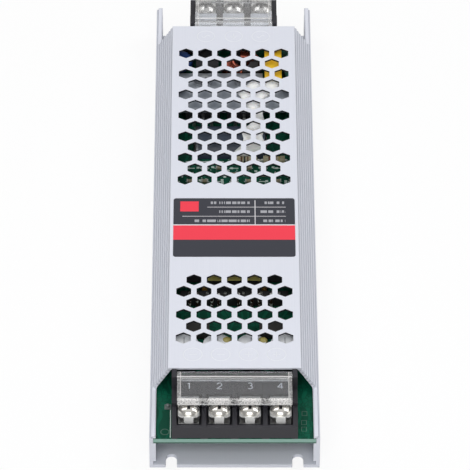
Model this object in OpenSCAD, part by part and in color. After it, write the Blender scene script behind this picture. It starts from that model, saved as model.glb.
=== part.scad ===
// Slim LED power supply in an aluminium extrusion, ventilated by a hexagon grille.
// X runs across the housing, Y along it with the output end at -Y, and Z is up.
// The origin is the middle of the footprint, on the mounting surface.

/* [Housing] */
// Length of the extrusion
housing_l = 189; // [178:1:240]
// Width over the side walls
housing_w = 46; // [45:0.5:60]
// Thickness of the walls, shoulders and floor
wall = 1.0; // [0.8:0.05:1.3]
// Thickness of the roof
roof_t = 0.6; // [0.5:0.05:1.2]
// Clear height between the board and the roof
headroom = 7.6; // [7.3:0.1:14]
// Width of the flat roof between the shoulders
roof_w = 36; // [34:0.5:40]
// Height of the lip over the board groove, left standing at the sawn ends
lip_h = 0.8; // [0.6:0.1:1.5]
// Depth of the board groove behind its rail and lip
groove_depth = 0.75; // [0.5:0.05:1.2]
// Height of the sheet groove under the board rail
sheet_groove_h = 1.3; // [0.8:0.1:2]
// Distance from the top of the board groove down to the foot of the shoulder
shoulder_drop = 0.1; // [0:0.05:0.6]
// Number of flutes along each shoulder
flute_count = 8; // [4:1:10]
// Width of a flute
flute_w = 0.7; // [0.4:0.05:0.9]
// Depth of a flute
flute_depth = 0.3; // [0.1:0.05:0.5]
// Corner radius of the sawn end notches
notch_r = 0.8; // [0.4:0.1:3]

/* [Mounting slots] */
// Width of a mounting slot
slot_w = 3.0; // [2.5:0.1:4.5]
// Depth of a mounting slot from the end of the floor
slot_depth = 4.2; // [3:0.1:8]
// Distance from the side of the housing to the middle of a slot
slot_inset = 5.9; // [5:0.1:9]

/* [Grille] */
// Width of a hexagon across its flats
hex_w = 4.1; // [3:0.1:4.6]
// Distance between hexagons in a row
hex_pitch = 5.6; // [5.2:0.1:7]
// Distance between rows
row_pitch = 4.85; // [4.6:0.05:6]
// Least distance from a row's last cell to the edge of the roof
grille_side = 1.0; // [0.6:0.1:3]
// Distance from the sawn roof edge to the first row, output end
grille_front = 12.3; // [7:0.1:16]
// Distance from the sawn roof edge to the first row, input end
grille_back = 13.0; // [6:0.1:16]
// Least distance from the label to a row
grille_label_gap = 8.5; // [5:0.1:12]

/* [Label] */
// Width of the label
label_w = 34.2; // [20:0.1:35]
// Length of the label
label_l = 25.3; // [15:0.1:30]
// Thickness of the label
label_t = 0.15; // [0.05:0.01:0.3]
// Corner radius of the label
label_r = 0.8; // [0.3:0.1:3]
// Distance from the sawn roof edge at the output end to the label
label_front = 46.3; // [30:0.1:50]

/* [Board] */
// Height of the board rail
board_z = 8.9; // [8.2:0.1:12]
// Thickness of the board
board_t = 1.6; // [1:0.1:2]
// Clearance between the edge of the board and its groove
board_side_clearance = 0.1; // [0.05:0.05:0.3]
// Clearance between the board and the lip over it
board_top_clearance = 0.2; // [0.1:0.05:0.4]
// Thickness of the insulation sheet on the floor
sheet_t = 0.3; // [0.1:0.05:0.7]
// Length of the corners cut from the board beside the input block
board_cut_l = 15; // [10:0.1:16]
// Clearance round leads and pins in the board
lead_clearance = 0.15; // [0.1:0.05:0.3]

/* [Terminal blocks] */
// Distance between poles
pole_pitch = 8.25; // [7.8:0.05:9.5]
// Depth of a block along the housing
block_d = 17.8; // [17.4:0.1:20]
// Gap between the output block and the roof
front_gap = 1.6; // [0.8:0.1:5]
// Gap between the input block and the roof
back_gap = 0.4; // [0.3:0.1:3]
// Extra width of a block beyond its poles
block_extra_w = 1.0; // [0.6:0.1:2]
// Thickness of the end plates
end_t = 1.35; // [1.1:0.05:1.6]
// Thickness of the barriers between poles
barrier_t = 1.3; // [0.8:0.05:1.5]
// Thickness of the floor of a block
base_h = 1.7; // [1.6:0.1:3]
// Height of the front wall
front_h = 4.1; // [3:0.1:5]
// Thickness of the front wall
front_wall_t = 1.2; // [0.8:0.1:1.4]
// Depth of the low front part of the plates and barriers
front_l = 8.6; // [6:0.1:9.4]
// Height of the end plates between their low front part and the hinge posts
plate_h = 5.2; // [5:0.1:6]
// Length of the hinge posts
post_l = 3.3; // [2.8:0.1:4.4]
// Length of the number shelf
shelf_l = 7.4; // [6.4:0.1:7.6]
// Height of the ribs that part the number shelf
rib_stand = 0.3; // [0.1:0.05:0.4]
// Size of the small feet along the front of a block
foot = 0.35; // [0.2:0.05:0.6]

/* [Contacts and clamps] */
// Width of a contact
contact_w = 5.6; // [4:0.1:6]
// Thickness of a contact
contact_t = 1.0; // [0.6:0.1:1.2]
// Thickness of the upright part of a contact
riser_t = 0.6; // [0.4:0.05:0.7]
// Width of a solder pin
solder_pin_w = 1.2; // [0.8:0.1:1.6]
// Thickness of a solder pin
solder_pin_t = 0.8; // [0.5:0.1:1]
// Length of a solder pin under the board
solder_pin_l = 1.5; // [0.5:0.1:2.5]
// Height of a clamp plate over its contact, with the screw backed out
clamp_lift = 1.65; // [1.6:0.05:3]
// Width of a clamp plate
clamp_w = 5.8; // [4.5:0.1:6]
// Length of a clamp plate
clamp_l = 6.2; // [5.4:0.1:6.6]
// Length of a clamp plate in front of its screw
clamp_front_l = 3.5; // [3:0.05:3.8]
// Thickness of a clamp plate
clamp_t = 0.9; // [0.6:0.1:1.2]
// Corner chamfer of a clamp plate
clamp_chamfer = 0.7; // [0.2:0.1:1.2]
// Width of the tongue in front of a clamp plate
tongue_w = 2.6; // [1.5:0.1:3.5]
// How far the sloping tongue reaches in front of its plate
tongue_t = 0.8; // [0.4:0.05:1]
// How far the tongue reaches below its plate
tongue_drop = 0.9; // [0.2:0.05:1]

/* [Screws] */
// Thread diameter of a terminal screw
screw_d = 3.5; // [2.5:0.1:3.8]
// Running clearance of the thread in its contact
thread_clearance = 0.05; // [0.02:0.01:0.1]
// Distance from the front of a block to the screws
screw_v = 6.4; // [5.8:0.1:6.5]
// Diameter of a screw head
head_d = 5.8; // [5:0.1:5.9]
// Height of a screw head
head_h = 1.65; // [1.2:0.05:2.4]
// Height of the straight rim of a screw head
head_rim = 0.4; // [0.2:0.05:0.8]
// Clearance between a screw head and its clamp plate
head_gap = 0.05; // [0.02:0.01:0.1]
// Length of the cross recess
recess_l = 3.3; // [2:0.1:4]
// Width of the cross recess
recess_w = 0.85; // [0.5:0.05:1.2]
// Depth of the cross recess
recess_depth = 1.1; // [0.5:0.05:1.2]

/* [Terminal covers] */
// Clearance between a cover and the end plates
cover_side_gap = 0.15; // [0.1:0.05:0.3]
// Thickness of the cover panel
cover_t = 1.1; // [0.8:0.05:1.5]
// How far the panel lies below the top of the hinge posts
cover_drop = 0.4; // [0.2:0.05:0.8]
// Distance from the front of a block to the front of its cover
cover_front = 5.6; // [4.8:0.1:6.4]
// How far the front lip hangs below the panel
cover_lip = 0.6; // [0.3:0.05:1]
// Clearance between the front lip and a backed-out screw
lip_clearance = 0.25; // [0.15:0.05:0.5]
// Thickness of the lip and the skirts
skirt_t = 0.9; // [0.6:0.05:1.2]
// Clearance between the skirts and the number shelf
skirt_clearance = 0.15; // [0.1:0.05:0.3]
// Distance from the back of a block to the hinge axis
pivot_inset = 1.3; // [1.2:0.05:1.8]
// How far the hinge axis lies below the top of the posts
pivot_drop = 1.3; // [1.25:0.05:1.5]
// Radius of the hinge barrel
barrel_r = 1.1; // [0.95:0.05:1.15]
// Radius of the hinge pins
pin_r = 0.7; // [0.5:0.05:0.8]
// Running clearance of the hinge pins
pin_clearance = 0.06; // [0.03:0.01:0.1]
// Clearance between the barrel and the number shelf
shelf_clearance = 0.5; // [0.45:0.05:0.9]

/* [Transformer] */
// Distance from the roof edge at the output end to the middle of the transformer
transformer_y = 54; // [52:0.5:57]
// Width of the core
core_w = 27; // [24:0.5:30]
// Length of the core along the housing
core_l = 17; // [12:0.5:20]
// How far the core stands above the board
core_rise = 6.4; // [5.5:0.1:6.6]
// Thickness of the core's yokes
yoke_t = 3.2; // [2.5:0.1:4]
// Width of the core's outer legs
leg_w = 4; // [3:0.1:5]
// Air gap between the core's two halves
core_gap = 0.1; // [0.05:0.05:0.5]
// Diameter of the core's middle leg
middle_leg_d = 8; // [6:0.5:9]
// Diameter of the winding over its tape
winding_d = 31; // [26:0.5:32]
// Clearance between the winding and the core's outer legs
winding_side = 0.5; // [0.3:0.05:1.5]
// Clearance between winding, bobbin and core
winding_gap = 0.2; // [0.1:0.05:0.4]
// Thickness of the bobbin
bobbin_t = 0.9; // [0.6:0.1:1.2]
// Size of the bobbin's pin rails
rail_t = 3; // [2.5:0.1:4]
// Number of pins in a rail
rail_pins = 6; // [4:1:7]
// Diameter of a transformer pin
rail_pin_d = 0.8; // [0.6:0.05:1]

/* [Primary side] */
// Diameter of the bulk capacitor
bulk_d = 13.5; // [12:0.5:15]
// Length of the bulk capacitor
bulk_l = 20; // [18:0.5:30]
// Distance from the roof edge at the input end to the bulk capacitor
bulk_y = 44.8; // [44.6:0.1:46]
// Width of the heat sink plate
sink_w = 34; // [30:0.5:35]
// Length of the heat sink plate
sink_l = 16.6; // [15:0.1:17]
// Distance from the roof edge at the input end to the heat sink plate
sink_y = 20.0; // [19.3:0.1:20.4]
// Thickness of the heat sink plate
sink_t = 1.5; // [1:0.1:1.7]
// Length of the corner cut from the plate
sink_cut_l = 4.6; // [4.2:0.1:6]
// Thickness of a transistor's body
transistor_h = 4.4; // [4:0.1:4.6]
// Width of a transistor
transistor_w = 10; // [9:0.1:11]
// Length of a transistor's body
transistor_l = 9; // [8:0.1:9.4]
// Clearance between the transistors and the board
transistor_gap = 0.3; // [0.2:0.05:0.5]
// Thread diameter of the heat sink screws
sink_screw_d = 3; // [2:0.1:3]
// Height of the heat sink screw heads
sink_head_h = 0.6; // [0.4:0.05:0.6]
// Length of the yellow filter capacitor
filter_l = 15; // [12:0.1:15.4]
// Width of the yellow filter capacitor
filter_w = 5; // [4:0.1:5.4]
// Height of the yellow filter capacitor
filter_h = 6.4; // [5:0.1:6.6]
// Outer diameter of the choke's ring core
choke_d = 10; // [9:0.1:10.5]
// Inner diameter of the choke's ring core
choke_bore = 5; // [4.5:0.1:6]
// Height of the choke's ring core
choke_h = 3.2; // [2.5:0.1:3.6]
// Wire diameter of the choke's windings
choke_wire = 0.9; // [0.6:0.05:1]
// Thickness of the choke's base
choke_base_t = 0.8; // [0.6:0.1:1]
// Diameter of the varistor
varistor_d = 8.4; // [6:0.1:8.8]
// Thickness of the varistor
varistor_t = 3.8; // [3:0.1:5]
// Diameter of the disc capacitors
disc_d = 5.4; // [4.6:0.1:5.6]
// Thickness of the disc capacitors
disc_t = 3.2; // [2:0.1:4]
// Width of the bridge rectifier
bridge_w = 6.6; // [5:0.1:6.9]
// Length of the bridge rectifier
bridge_l = 9.4; // [8:0.1:9.6]
// Height of the bridge rectifier
bridge_h = 5.2; // [3:0.1:6]
// Diameter of the fuse
fuse_d = 3.6; // [3:0.1:4]
// Length of the fuse
fuse_l = 10; // [8:0.1:11]
// Diameter of a power resistor
resistor_d = 2.4; // [1.8:0.1:3]
// Length of a power resistor
resistor_l = 6.2; // [5:0.1:7]

/* [Output side] */
// Diameter of an output capacitor
can_d = 8; // [6.3:0.1:8.4]
// Height of an output capacitor over its base
can_h = 5.6; // [4:0.1:5.7]
// Thickness of the base of an output capacitor
can_base_t = 0.9; // [0.6:0.1:1]
// Distance between output capacitors
can_pitch = 9.2; // [8.8:0.1:9.6]
// Distance from the roof edge at the output end to the output capacitors
can_y = 11.8; // [10:0.1:12]
// Width of an output rectifier
rectifier_w = 6.6; // [5:0.1:7]
// Length of an output rectifier's body
rectifier_l = 6.1; // [5:0.1:6.4]
// Height of an output rectifier
rectifier_h = 2.3; // [1.8:0.1:3]
// Distance between the two output rectifiers
rectifier_pitch = 20.4; // [16:0.1:24]
// Distance from the roof edge at the output end to the output rectifiers
rectifier_y = 24; // [22.6:0.1:25]
// Diameter of the indicator lamp
led_d = 1.2; // [0.8:0.1:1.5]
// Height of the indicator lamp
led_h = 1.3; // [1:0.1:3]
// Distance from the front end of the board to the indicator lamp
led_y = 12.5; // [8:0.1:15]

/* [Small parts] */
// Size of a chip component along its length
chip_l = 2.0; // [1.6:0.1:2.2]
// Width of a chip component
chip_w = 1.25; // [0.8:0.05:1.4]
// Height of a chip component
chip_h = 0.7; // [0.4:0.05:1]
// Length of a chip component's end caps
chip_cap = 0.4; // [0.2:0.05:0.6]
// Distance between chip components across the board
chip_pitch_x = 4.2; // [3.6:0.1:5]
// Distance between rows of chip components
chip_pitch_y = 3.0; // [2.6:0.1:4]
// Length of the controller chip
controller_l = 4.9; // [4:0.1:5.4]
// Width of the controller chip
controller_w = 3.9; // [3:0.1:4.4]
// Height of the controller chip and the optocoupler
ic_h = 1.6; // [1.2:0.1:2.4]
// Length of a gull-wing lead beyond its chip
ic_lead = 1.0; // [0.6:0.1:1.2]
// Width of the optocoupler
opto_w = 4.6; // [4:0.1:5]
// Length of the optocoupler
opto_l = 4.4; // [3:0.1:5]
// Largest radius of the silicone beads
bead_r = 3.2; // [2.4:0.1:3.4]
// Height of the silicone beads
bead_h = 0.6; // [0.3:0.05:0.6]

/* [Hidden] */
$fn = 64;
eps = 0.01;
over = 1; // how far a cutter reaches past what it cuts
part_gap = 0.6; // least space between parts on the board
corner_r = 0.4; // corners of small moulded parts
output_poles = 4;
input_poles = 3;

// Heights
sheet_top = wall + sheet_t;
board_top = board_z + board_t;
groove_top = board_top + board_top_clearance;
ear_z = groove_top + lip_h;
shoulder_z = groove_top - shoulder_drop;
roof_in = board_top + headroom;
housing_h = roof_in + roof_t;

// Places along the housing
front_end = -housing_l / 2;
back_end = housing_l / 2;
roof_front = front_end + block_d + front_gap;
roof_back = back_end - block_d - back_gap;
label_y = roof_front + label_front + label_l / 2;
function from_output(distance) = roof_front + distance;
function from_input(distance) = roof_back - distance;

// Section of the housing, right half
wall_in = housing_w / 2 - wall;
rail_in = wall_in - groove_depth;
shoulder_foot = [housing_w / 2, shoulder_z];
shoulder_head = [roof_w / 2, housing_h];
shoulder_len = norm(shoulder_head - shoulder_foot);
shoulder_dir = (shoulder_head - shoulder_foot) / shoulder_len;
shoulder_in = [-shoulder_dir.y, shoulder_dir.x];
shoulder_line = shoulder_foot + wall * shoulder_in;
function shoulder_x(z) = shoulder_line.x + (z - shoulder_line.y) * shoulder_dir.x / shoulder_dir.y;
function on_shoulder(along, depth) = shoulder_foot + along * shoulder_dir + depth * shoulder_in;
flute_step = shoulder_len / flute_count;
flute_points = [
    for (i = [0:flute_count - 1], k = [-1:1])
        on_shoulder((i + 0.5) * flute_step + k * flute_w / 2, k == 0 ? flute_depth : 0)
];
function mirrored(points) = [for (i = [len(points) - 1:-1:0]) [-points[i].x, points[i].y]];
outer_half = concat([[housing_w / 2, 0], shoulder_foot], flute_points, [shoulder_head]);
inner_half = [
    [wall_in, wall], [wall_in, wall + sheet_groove_h],
    [rail_in, wall + sheet_groove_h], [rail_in, board_z],
    [wall_in, board_z], [wall_in, groove_top],
    [shoulder_x(ear_z), groove_top], [shoulder_x(ear_z), ear_z],
    [shoulder_x(roof_in), roof_in]
];

// Grille
grille_cols = floor((roof_w - 2 * grille_side) / hex_pitch);
label_reach = label_l / 2 + grille_label_gap;
function rows_in(length) = floor(length / row_pitch + eps) + 1;
back_rows = rows_in(from_input(grille_back) - label_y - label_reach);
front_rows = rows_in(label_y - label_reach - from_output(grille_front));

// Board
board_w = 2 * (wall_in - board_side_clearance);
cutout_gap = 0.6;

// Terminal blocks, measured from the front of the block and from the board
function block_w(poles) = poles * pole_pitch + block_extra_w;
function pole_x(poles, i) = (i - (poles - 1) / 2) * pole_pitch;
contact_top = base_h + contact_t;
clamp_z = contact_top + clamp_lift;
head_z = clamp_z + clamp_t + head_gap;
lip_z = head_z + head_h + lip_clearance;
panel_z = lip_z + cover_lip;
post_h = panel_z + cover_t + cover_drop;
pivot_v = block_d - pivot_inset;
pivot_h = post_h - pivot_drop;
shelf_v = block_d - shelf_l;
shelf_h = pivot_h - barrel_r - shelf_clearance;
rib_h = shelf_h + rib_stand;
riser_gap = 0.2;
riser_v = shelf_v - riser_gap - riser_t;
riser_h = shelf_h - 2 * rib_stand;
contact_front = screw_v - clamp_front_l + tongue_t / 2;
solder_pin_v = shelf_v - solder_pin_w / 2 - 2 * lead_clearance;
pin_hole_d = norm([solder_pin_w, solder_pin_t]) + 2 * lead_clearance;
well_clearance = 0.25;
clamp_hole_clearance = 0.2;
function cover_half_w(poles) = block_w(poles) / 2 - end_t - cover_side_gap;
board_tongue = block_w(input_poles) / 2 - cutout_gap;
strip_gap = 0.1;
strip_play = 0.05;
strip_w = min(pole_pitch - barrier_t, pole_pitch + block_extra_w - 2 * end_t) - 2 * strip_gap;
dome_rise = head_h - head_rim;
dome_r = (pow(head_d / 2, 2) + pow(dome_rise, 2)) / (2 * dome_rise);

// Transformer
core_top = board_top + core_rise;
core_h = core_top - sheet_top;
core_mid_z = sheet_top + core_h / 2;
window_h = core_h - 2 * yoke_t;
core_y = from_output(transformer_y);
rail_y = winding_d / 2 + rail_t / 2 + cutout_gap;
winding_w = core_w - 2 * (leg_w + winding_side);
winding_h = window_h - 2 * bobbin_t - 4 * winding_gap;
tube_d = middle_leg_d + 2 * winding_gap + 2 * bobbin_t;
rail_w = core_w + rail_t;
pin_stand = 0.6;

// Primary side
bulk_x = -1;
bulk_gap = 0.05;
bulk_z = sheet_top + bulk_gap + bulk_d / 2;
bulk_yy = from_input(bulk_y);
bead_ring_in = 3; // from the end of the bulk capacitor to its rolled groove
bead_ring_r = 1;
bead_ring_depth = 0.5;
vent_l = 9;
vent_w = 0.5;
vent_depth = 0.2;
sink_z = board_top + transistor_gap + transistor_h;
sink_top = sink_z + sink_t;
sink_back = from_input(sink_y);
sink_mid = sink_back - sink_l / 2;
transistor_xs = [-9, 3];
tab_t = 1.3;
tab_l = 4.4;
lead_w = 0.8;
lead_t = 0.5;
lead_pitch = 2.54;
lead_out = 1.6;
tab_overlap = 0.1;
transistor_y = sink_mid - tab_l / 2;
tab_y = transistor_l / 2 + tab_l / 2;
lead_y = -transistor_l / 2 - lead_out;
sink_hole_clearance = 0.15;
sink_head_d = 5.6;
screw_tip = 0.6;
// The row behind the heat sink shares out the space left across the board
choke_w = choke_d + 2 * choke_wire;
row_gap = (2 * rail_in - varistor_d - bridge_w - choke_w - filter_w - disc_d) / 6;
varistor_x = row_gap + varistor_d / 2 - rail_in;
bridge_x = varistor_x + varistor_d / 2 + row_gap + bridge_w / 2;
choke_x = bridge_x + bridge_w / 2 + row_gap + choke_w / 2;
filter_x = choke_x + choke_w / 2 + row_gap + filter_w / 2;
disc_x = filter_x + filter_w / 2 + row_gap + disc_d / 2;
sink_cut_x = filter_x - filter_w / 2 - part_gap;
disc_gap = 0.3;
filter_y = sink_back - sink_cut_l + filter_l / 2 + part_gap;
choke_y = sink_back + choke_w / 2 + 2 * part_gap;
choke_r = 1;
peg_d = 1.4;
winding_angle = 110;
winding_turn = -120;
fuse_x = (varistor_x + bridge_x) / 2;
fuse_y = from_input(fuse_d / 2 + part_gap);
varistor_y = fuse_y - fuse_d / 2 - part_gap - varistor_d / 2;
fuse_cap = 2.2;
bridge_cut = 1.4;

// Output side
can_count = 4;
can_yy = from_output(can_y);
can_ring_z = 1.2;
can_ring_r = 0.55;
can_ring_depth = 0.25;
can_base_margin = 0.15;
can_base_cut = 1.6;
rectifier_lead_pitch = 2.28;
rectifier_lead_l = 2;
rectifier_tab_l = 1;
rectifier_tab_w = rectifier_w - 1.2;
led_foot_margin = 0.3;
led_foot_h = 0.4;
led_gap = 0.2;
rectifier_yy = from_output(rectifier_y);
led_space = rail_in - block_w(output_poles) / 2;
led_foot_w = min(led_d + 2 * led_foot_margin, led_space - 2 * led_gap);
led_x = -(block_w(output_poles) / 2 + led_gap + led_foot_w / 2);
led_yy = front_end + led_y;

// Small parts in the free field between the transformer and the bulk capacitor
field_front = core_y + rail_y + rail_t / 2 + part_gap;
field_back = bulk_yy - bulk_d / 2 - cutout_gap - part_gap;
board_margin = 1.5;
chip_cols = floor(2 * (rail_in - board_margin) / chip_pitch_x);
chip_waist = 0.05;
controller_x = -9;
opto_x = 3;
ic_stand = 0.12;
ic_y = field_front + controller_l / 2;
chip_y = ic_y + controller_l / 2 + chip_w;
chip_rows = floor((field_back - resistor_d - chip_w - chip_y) / chip_pitch_y) + 1;
resistor_y = field_back - resistor_d / 2;
bead_spots = [[5.2, -3.8, 0.9], [7.6, -0.6, 1]]; // across, along, share of the largest radius
bead_fn = 240;
resistor_pitch = resistor_l + 3 * part_gap;
resistor_cap = 1.3;
cap_step = 0.15;

// Building blocks

module rounded_plate(w, l, h, r) {
    linear_extrude(h)
        union() {
            square([w - 2 * r, l], center = true);
            square([w, l - 2 * r], center = true);
            for (x = [-1, 1], y = [-1, 1])
                translate([x * (w / 2 - r), y * (l / 2 - r)])
                    circle(r);
        }
}

module across(w) {
    rotate([90, 0, 90])
        translate([0, 0, -w / 2])
            linear_extrude(w)
                children();
}

module along(l) {
    rotate([90, 0, 0])
        linear_extrude(l, center = true)
            children();
}

module at_output() {
    translate([0, front_end, board_top])
        children();
}

module at_input() {
    translate([0, back_end, board_top])
        rotate([0, 0, 180])
            children();
}

// Housing

module end_notch(length) {
    across(housing_w + 2 * over)
        difference() {
            translate([-over, ear_z])
                square([length + over, housing_h]);
            translate([length - notch_r, ear_z])
                difference() {
                    square(notch_r);
                    translate([0, notch_r])
                        circle(notch_r);
                }
        }
}

module mounting_slot() {
    run = slot_depth - slot_w / 2;
    translate([0, run, -over]) {
        cylinder(d = slot_w, h = wall + over + sheet_groove_h);
        translate([-slot_w / 2, -run - over, 0])
            cube([slot_w, run + over, wall + over + sheet_groove_h]);
    }
}

module hex_rows(rows, step) {
    for (row = [0:rows - 1]) {
        cols = grille_cols - row % 2;
        for (col = [0:cols - 1])
            translate([(col - (cols - 1) / 2) * hex_pitch, row * step])
                rotate(30)
                    circle(d = hex_w / cos(30), $fn = 6);
    }
}

module housing() {
    color("gainsboro")
        difference() {
            along(housing_l)
                difference() {
                    polygon(concat(outer_half, mirrored(outer_half)));
                    polygon(concat(inner_half, mirrored(inner_half)));
                }
            translate([0, front_end, 0])
                end_notch(roof_front - front_end);
            translate([0, back_end, 0])
                mirror([0, 1, 0])
                    end_notch(back_end - roof_back);
            translate([0, 0, roof_in - over])
                linear_extrude(roof_t + 2 * over) {
                    translate([0, from_output(grille_front)])
                        hex_rows(front_rows, row_pitch);
                    translate([0, from_input(grille_back)])
                        hex_rows(back_rows, -row_pitch);
                }
            for (side = [-1, 1], end = [0, 1])
                translate([side * (housing_w / 2 - slot_inset), end == 0 ? front_end : back_end, 0])
                    mirror([0, end, 0])
                        mounting_slot();
        }
}

module rating_label() {
    color("dimgray")
        translate([0, label_y, housing_h])
            rounded_plate(label_w, label_l, label_t, label_r);
}

module insulation_sheet() {
    sheet_l = roof_back - roof_front;
    color("ivory")
        translate([0, (roof_front + roof_back) / 2, wall + sheet_t / 2])
            cube([board_w, sheet_l, sheet_t], center = true);
}

// Board

module lead_hole(d) {
    translate([0, 0, -board_t - over])
        cylinder(d = d + 2 * lead_clearance, h = board_t + 2 * over);
}

module pin_holes(poles) {
    for (i = [0:poles - 1])
        translate([pole_x(poles, i), solder_pin_v, 0])
            lead_hole(pin_hole_d - 2 * lead_clearance);
}

module board_cutout(w, l) {
    translate([0, 0, board_z + board_t / 2])
        cube([w + 2 * cutout_gap, l + 2 * cutout_gap, board_t + over], center = true);
}

module circuit_board() {
    color("seagreen")
        difference() {
            translate([-board_w / 2, front_end, board_z])
                cube([board_w, housing_l, board_t]);
            at_output()
                pin_holes(output_poles);
            at_input()
                pin_holes(input_poles);
            for (side = [-1, 1])
                translate([side * (board_tongue + board_w / 2), back_end, board_z + board_t / 2])
                    cube([board_w, 2 * board_cut_l, board_t + over], center = true);
            translate([0, core_y, 0]) {
                board_cutout(core_w, core_l);
                board_cutout(winding_w, winding_d);
            }
            translate([bulk_x, bulk_yy, 0])
                board_cutout(bulk_l, bulk_d);
            translate([0, 0, board_top])
                at_rail_pins()
                    lead_hole(rail_pin_d);
            translate([0, 0, board_top])
                at_transistor_leads()
                    lead_hole(norm([lead_w, lead_t]));
        }
}

// Terminal blocks

module plate_profile(mid_h, back_h, back_l) {
    polygon([
        [0, 0], [block_d, 0], [block_d, back_h], [block_d - back_l, back_h],
        [block_d - back_l, mid_h], [front_l, mid_h], [front_l, front_h], [0, front_h]
    ]);
}

module terminal_base(poles) {
    w = block_w(poles);
    color([0.25, 0.25, 0.27])
        difference() {
            union() {
                translate([-w / 2, 0, 0])
                    cube([w, block_d, base_h]);
                translate([-w / 2, 0, 0])
                    cube([w, front_wall_t, front_h]);
                translate([end_t - w / 2, shelf_v, 0])
                    cube([w - 2 * end_t, shelf_l, shelf_h]);
                for (side = [-1, 1])
                    translate([side * (w - end_t) / 2, 0, 0])
                        across(end_t)
                            plate_profile(plate_h, post_h, post_l);
                for (i = [1:poles - 1])
                    translate([pole_x(poles, i) - pole_pitch / 2, 0, 0])
                        across(barrier_t)
                            plate_profile(rib_h, rib_h, post_l);
            }
            for (i = [0:poles - 1])
                translate([pole_x(poles, i), 0, -over]) {
                    translate([0, screw_v, 0])
                        cylinder(d = screw_d + 2 * well_clearance, h = base_h + 2 * over);
                    translate([0, solder_pin_v, 0])
                        cylinder(d = pin_hole_d, h = base_h + 2 * over);
                }
            translate([0, pivot_v, pivot_h])
                rotate([0, 90, 0])
                    cylinder(r = pin_r + pin_clearance, h = w + 2 * over, center = true);
            for (i = [1:poles])
                translate([pole_x(poles, i) - pole_pitch, 0, 0])
                    cube([pole_pitch - barrier_t - 2 * foot, 2 * foot, 2 * foot], center = true);
        }
}

module terminal_cover(poles) {
    half = cover_half_w(poles);
    pin_l = block_w(poles) / 2 - cover_side_gap;
    rib_v = pivot_v - barrel_r - skirt_t;
    skirt_z = shelf_h + skirt_clearance;
    color([0.85, 0.88, 0.9, 0.4])
        union() {
            translate([-half, cover_front, panel_z])
                cube([2 * half, pivot_v - cover_front, cover_t]);
            translate([-half, cover_front, lip_z])
                cube([2 * half, skirt_t, cover_lip + eps]);
            translate([-half, rib_v, lip_z])
                cube([2 * half, skirt_t, cover_lip + eps]);
            for (side = [-1, 1])
                translate([side * (half - skirt_t / 2), 0, 0])
                    across(skirt_t)
                        polygon([
                            [cover_front, lip_z], [shelf_v, lip_z],
                            [shelf_v, skirt_z], [rib_v + skirt_t, skirt_z],
                            [rib_v + skirt_t, panel_z + eps], [cover_front, panel_z + eps]
                        ]);
            translate([0, pivot_v, pivot_h])
                rotate([0, 90, 0]) {
                    cylinder(r = barrel_r, h = 2 * half, center = true);
                    cylinder(r = pin_r, h = 2 * pin_l, center = true);
                }
        }
}

module contacts(poles) {
    pin_low = -board_t - solder_pin_l;
    color("silver")
        for (i = [0:poles - 1])
            translate([pole_x(poles, i), 0, 0])
                difference() {
                    union() {
                        translate([-contact_w / 2, contact_front, base_h])
                            cube([contact_w, riser_v + riser_t - contact_front, contact_t]);
                        translate([-contact_w / 2, riser_v, base_h])
                            cube([contact_w, riser_t, riser_h - base_h]);
                        translate([-solder_pin_w / 2, solder_pin_v - solder_pin_t / 2, pin_low])
                            cube([solder_pin_w, solder_pin_t, base_h - pin_low + eps]);
                    }
                    translate([0, screw_v, base_h - over])
                        cylinder(d = screw_d + 2 * thread_clearance, h = contact_t + 2 * over);
                }
}

module clamp(poles, i) {
    half_w = clamp_w / 2;
    front = -clamp_front_l;
    back = clamp_l - clamp_front_l;
    cut = clamp_chamfer;
    color("silver")
        translate([pole_x(poles, i), screw_v, clamp_z])
            difference() {
                union() {
                    linear_extrude(clamp_t)
                        polygon([
                            [half_w, back], [-half_w, back], [-half_w, front + cut],
                            [cut - half_w, front], [half_w - cut, front], [half_w, front + cut]
                        ]);
                    across(tongue_w)
                        polygon([
                            [front + eps, clamp_t], [front - tongue_t, -tongue_drop],
                            [front - tongue_t / 2, -tongue_drop], [front + eps, 0]
                        ]);
                }
                translate([0, 0, -over])
                    cylinder(d = screw_d + 2 * clamp_hole_clearance, h = clamp_t + 2 * over);
            }
}

module terminal_screw(poles, i) {
    color("whitesmoke")
        translate([pole_x(poles, i), screw_v, 0])
            difference() {
                union() {
                    translate([0, 0, base_h])
                        cylinder(d = screw_d, h = head_z - base_h + eps);
                    translate([0, 0, head_z])
                        intersection() {
                            cylinder(d = head_d, h = head_h);
                            translate([0, 0, head_h - dome_r])
                                sphere(dome_r);
                        }
                }
                translate([0, 0, head_z + head_h - recess_depth / 2 + over])
                    for (turn = [0, 90])
                        rotate(turn)
                            cube([recess_l, recess_w, recess_depth + 2 * over], center = true);
            }
}

module marker_strips(poles) {
    color("white")
        for (i = [0:poles - 1])
            translate([pole_x(poles, i), shelf_v + shelf_l / 2, shelf_h])
                rounded_plate(strip_w, shelf_l - 2 * strip_gap, skirt_clearance - strip_play, strip_gap);
}

// Transformer

module core_half() {
    half_h = core_h / 2;
    leg_h = half_h - core_gap / 2;
    translate([0, 0, half_h - yoke_t / 2])
        cube([core_w, core_l, yoke_t], center = true);
    for (side = [-1, 1])
        translate([side * (core_w - leg_w) / 2, 0, half_h - leg_h / 2])
            cube([leg_w, core_l, leg_h], center = true);
    translate([0, 0, core_gap / 2])
        cylinder(d = middle_leg_d, h = leg_h - yoke_t + eps);
}

module transformer_core() {
    color([0.16, 0.16, 0.17])
        translate([0, core_y, core_mid_z]) {
            core_half();
            mirror([0, 0, 1])
                core_half();
        }
}

module winding_outline(extra) {
    intersection() {
        circle(d = winding_d + 2 * extra);
        square([winding_w + 2 * extra, winding_d + 2 * extra], center = true);
    }
}

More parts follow.
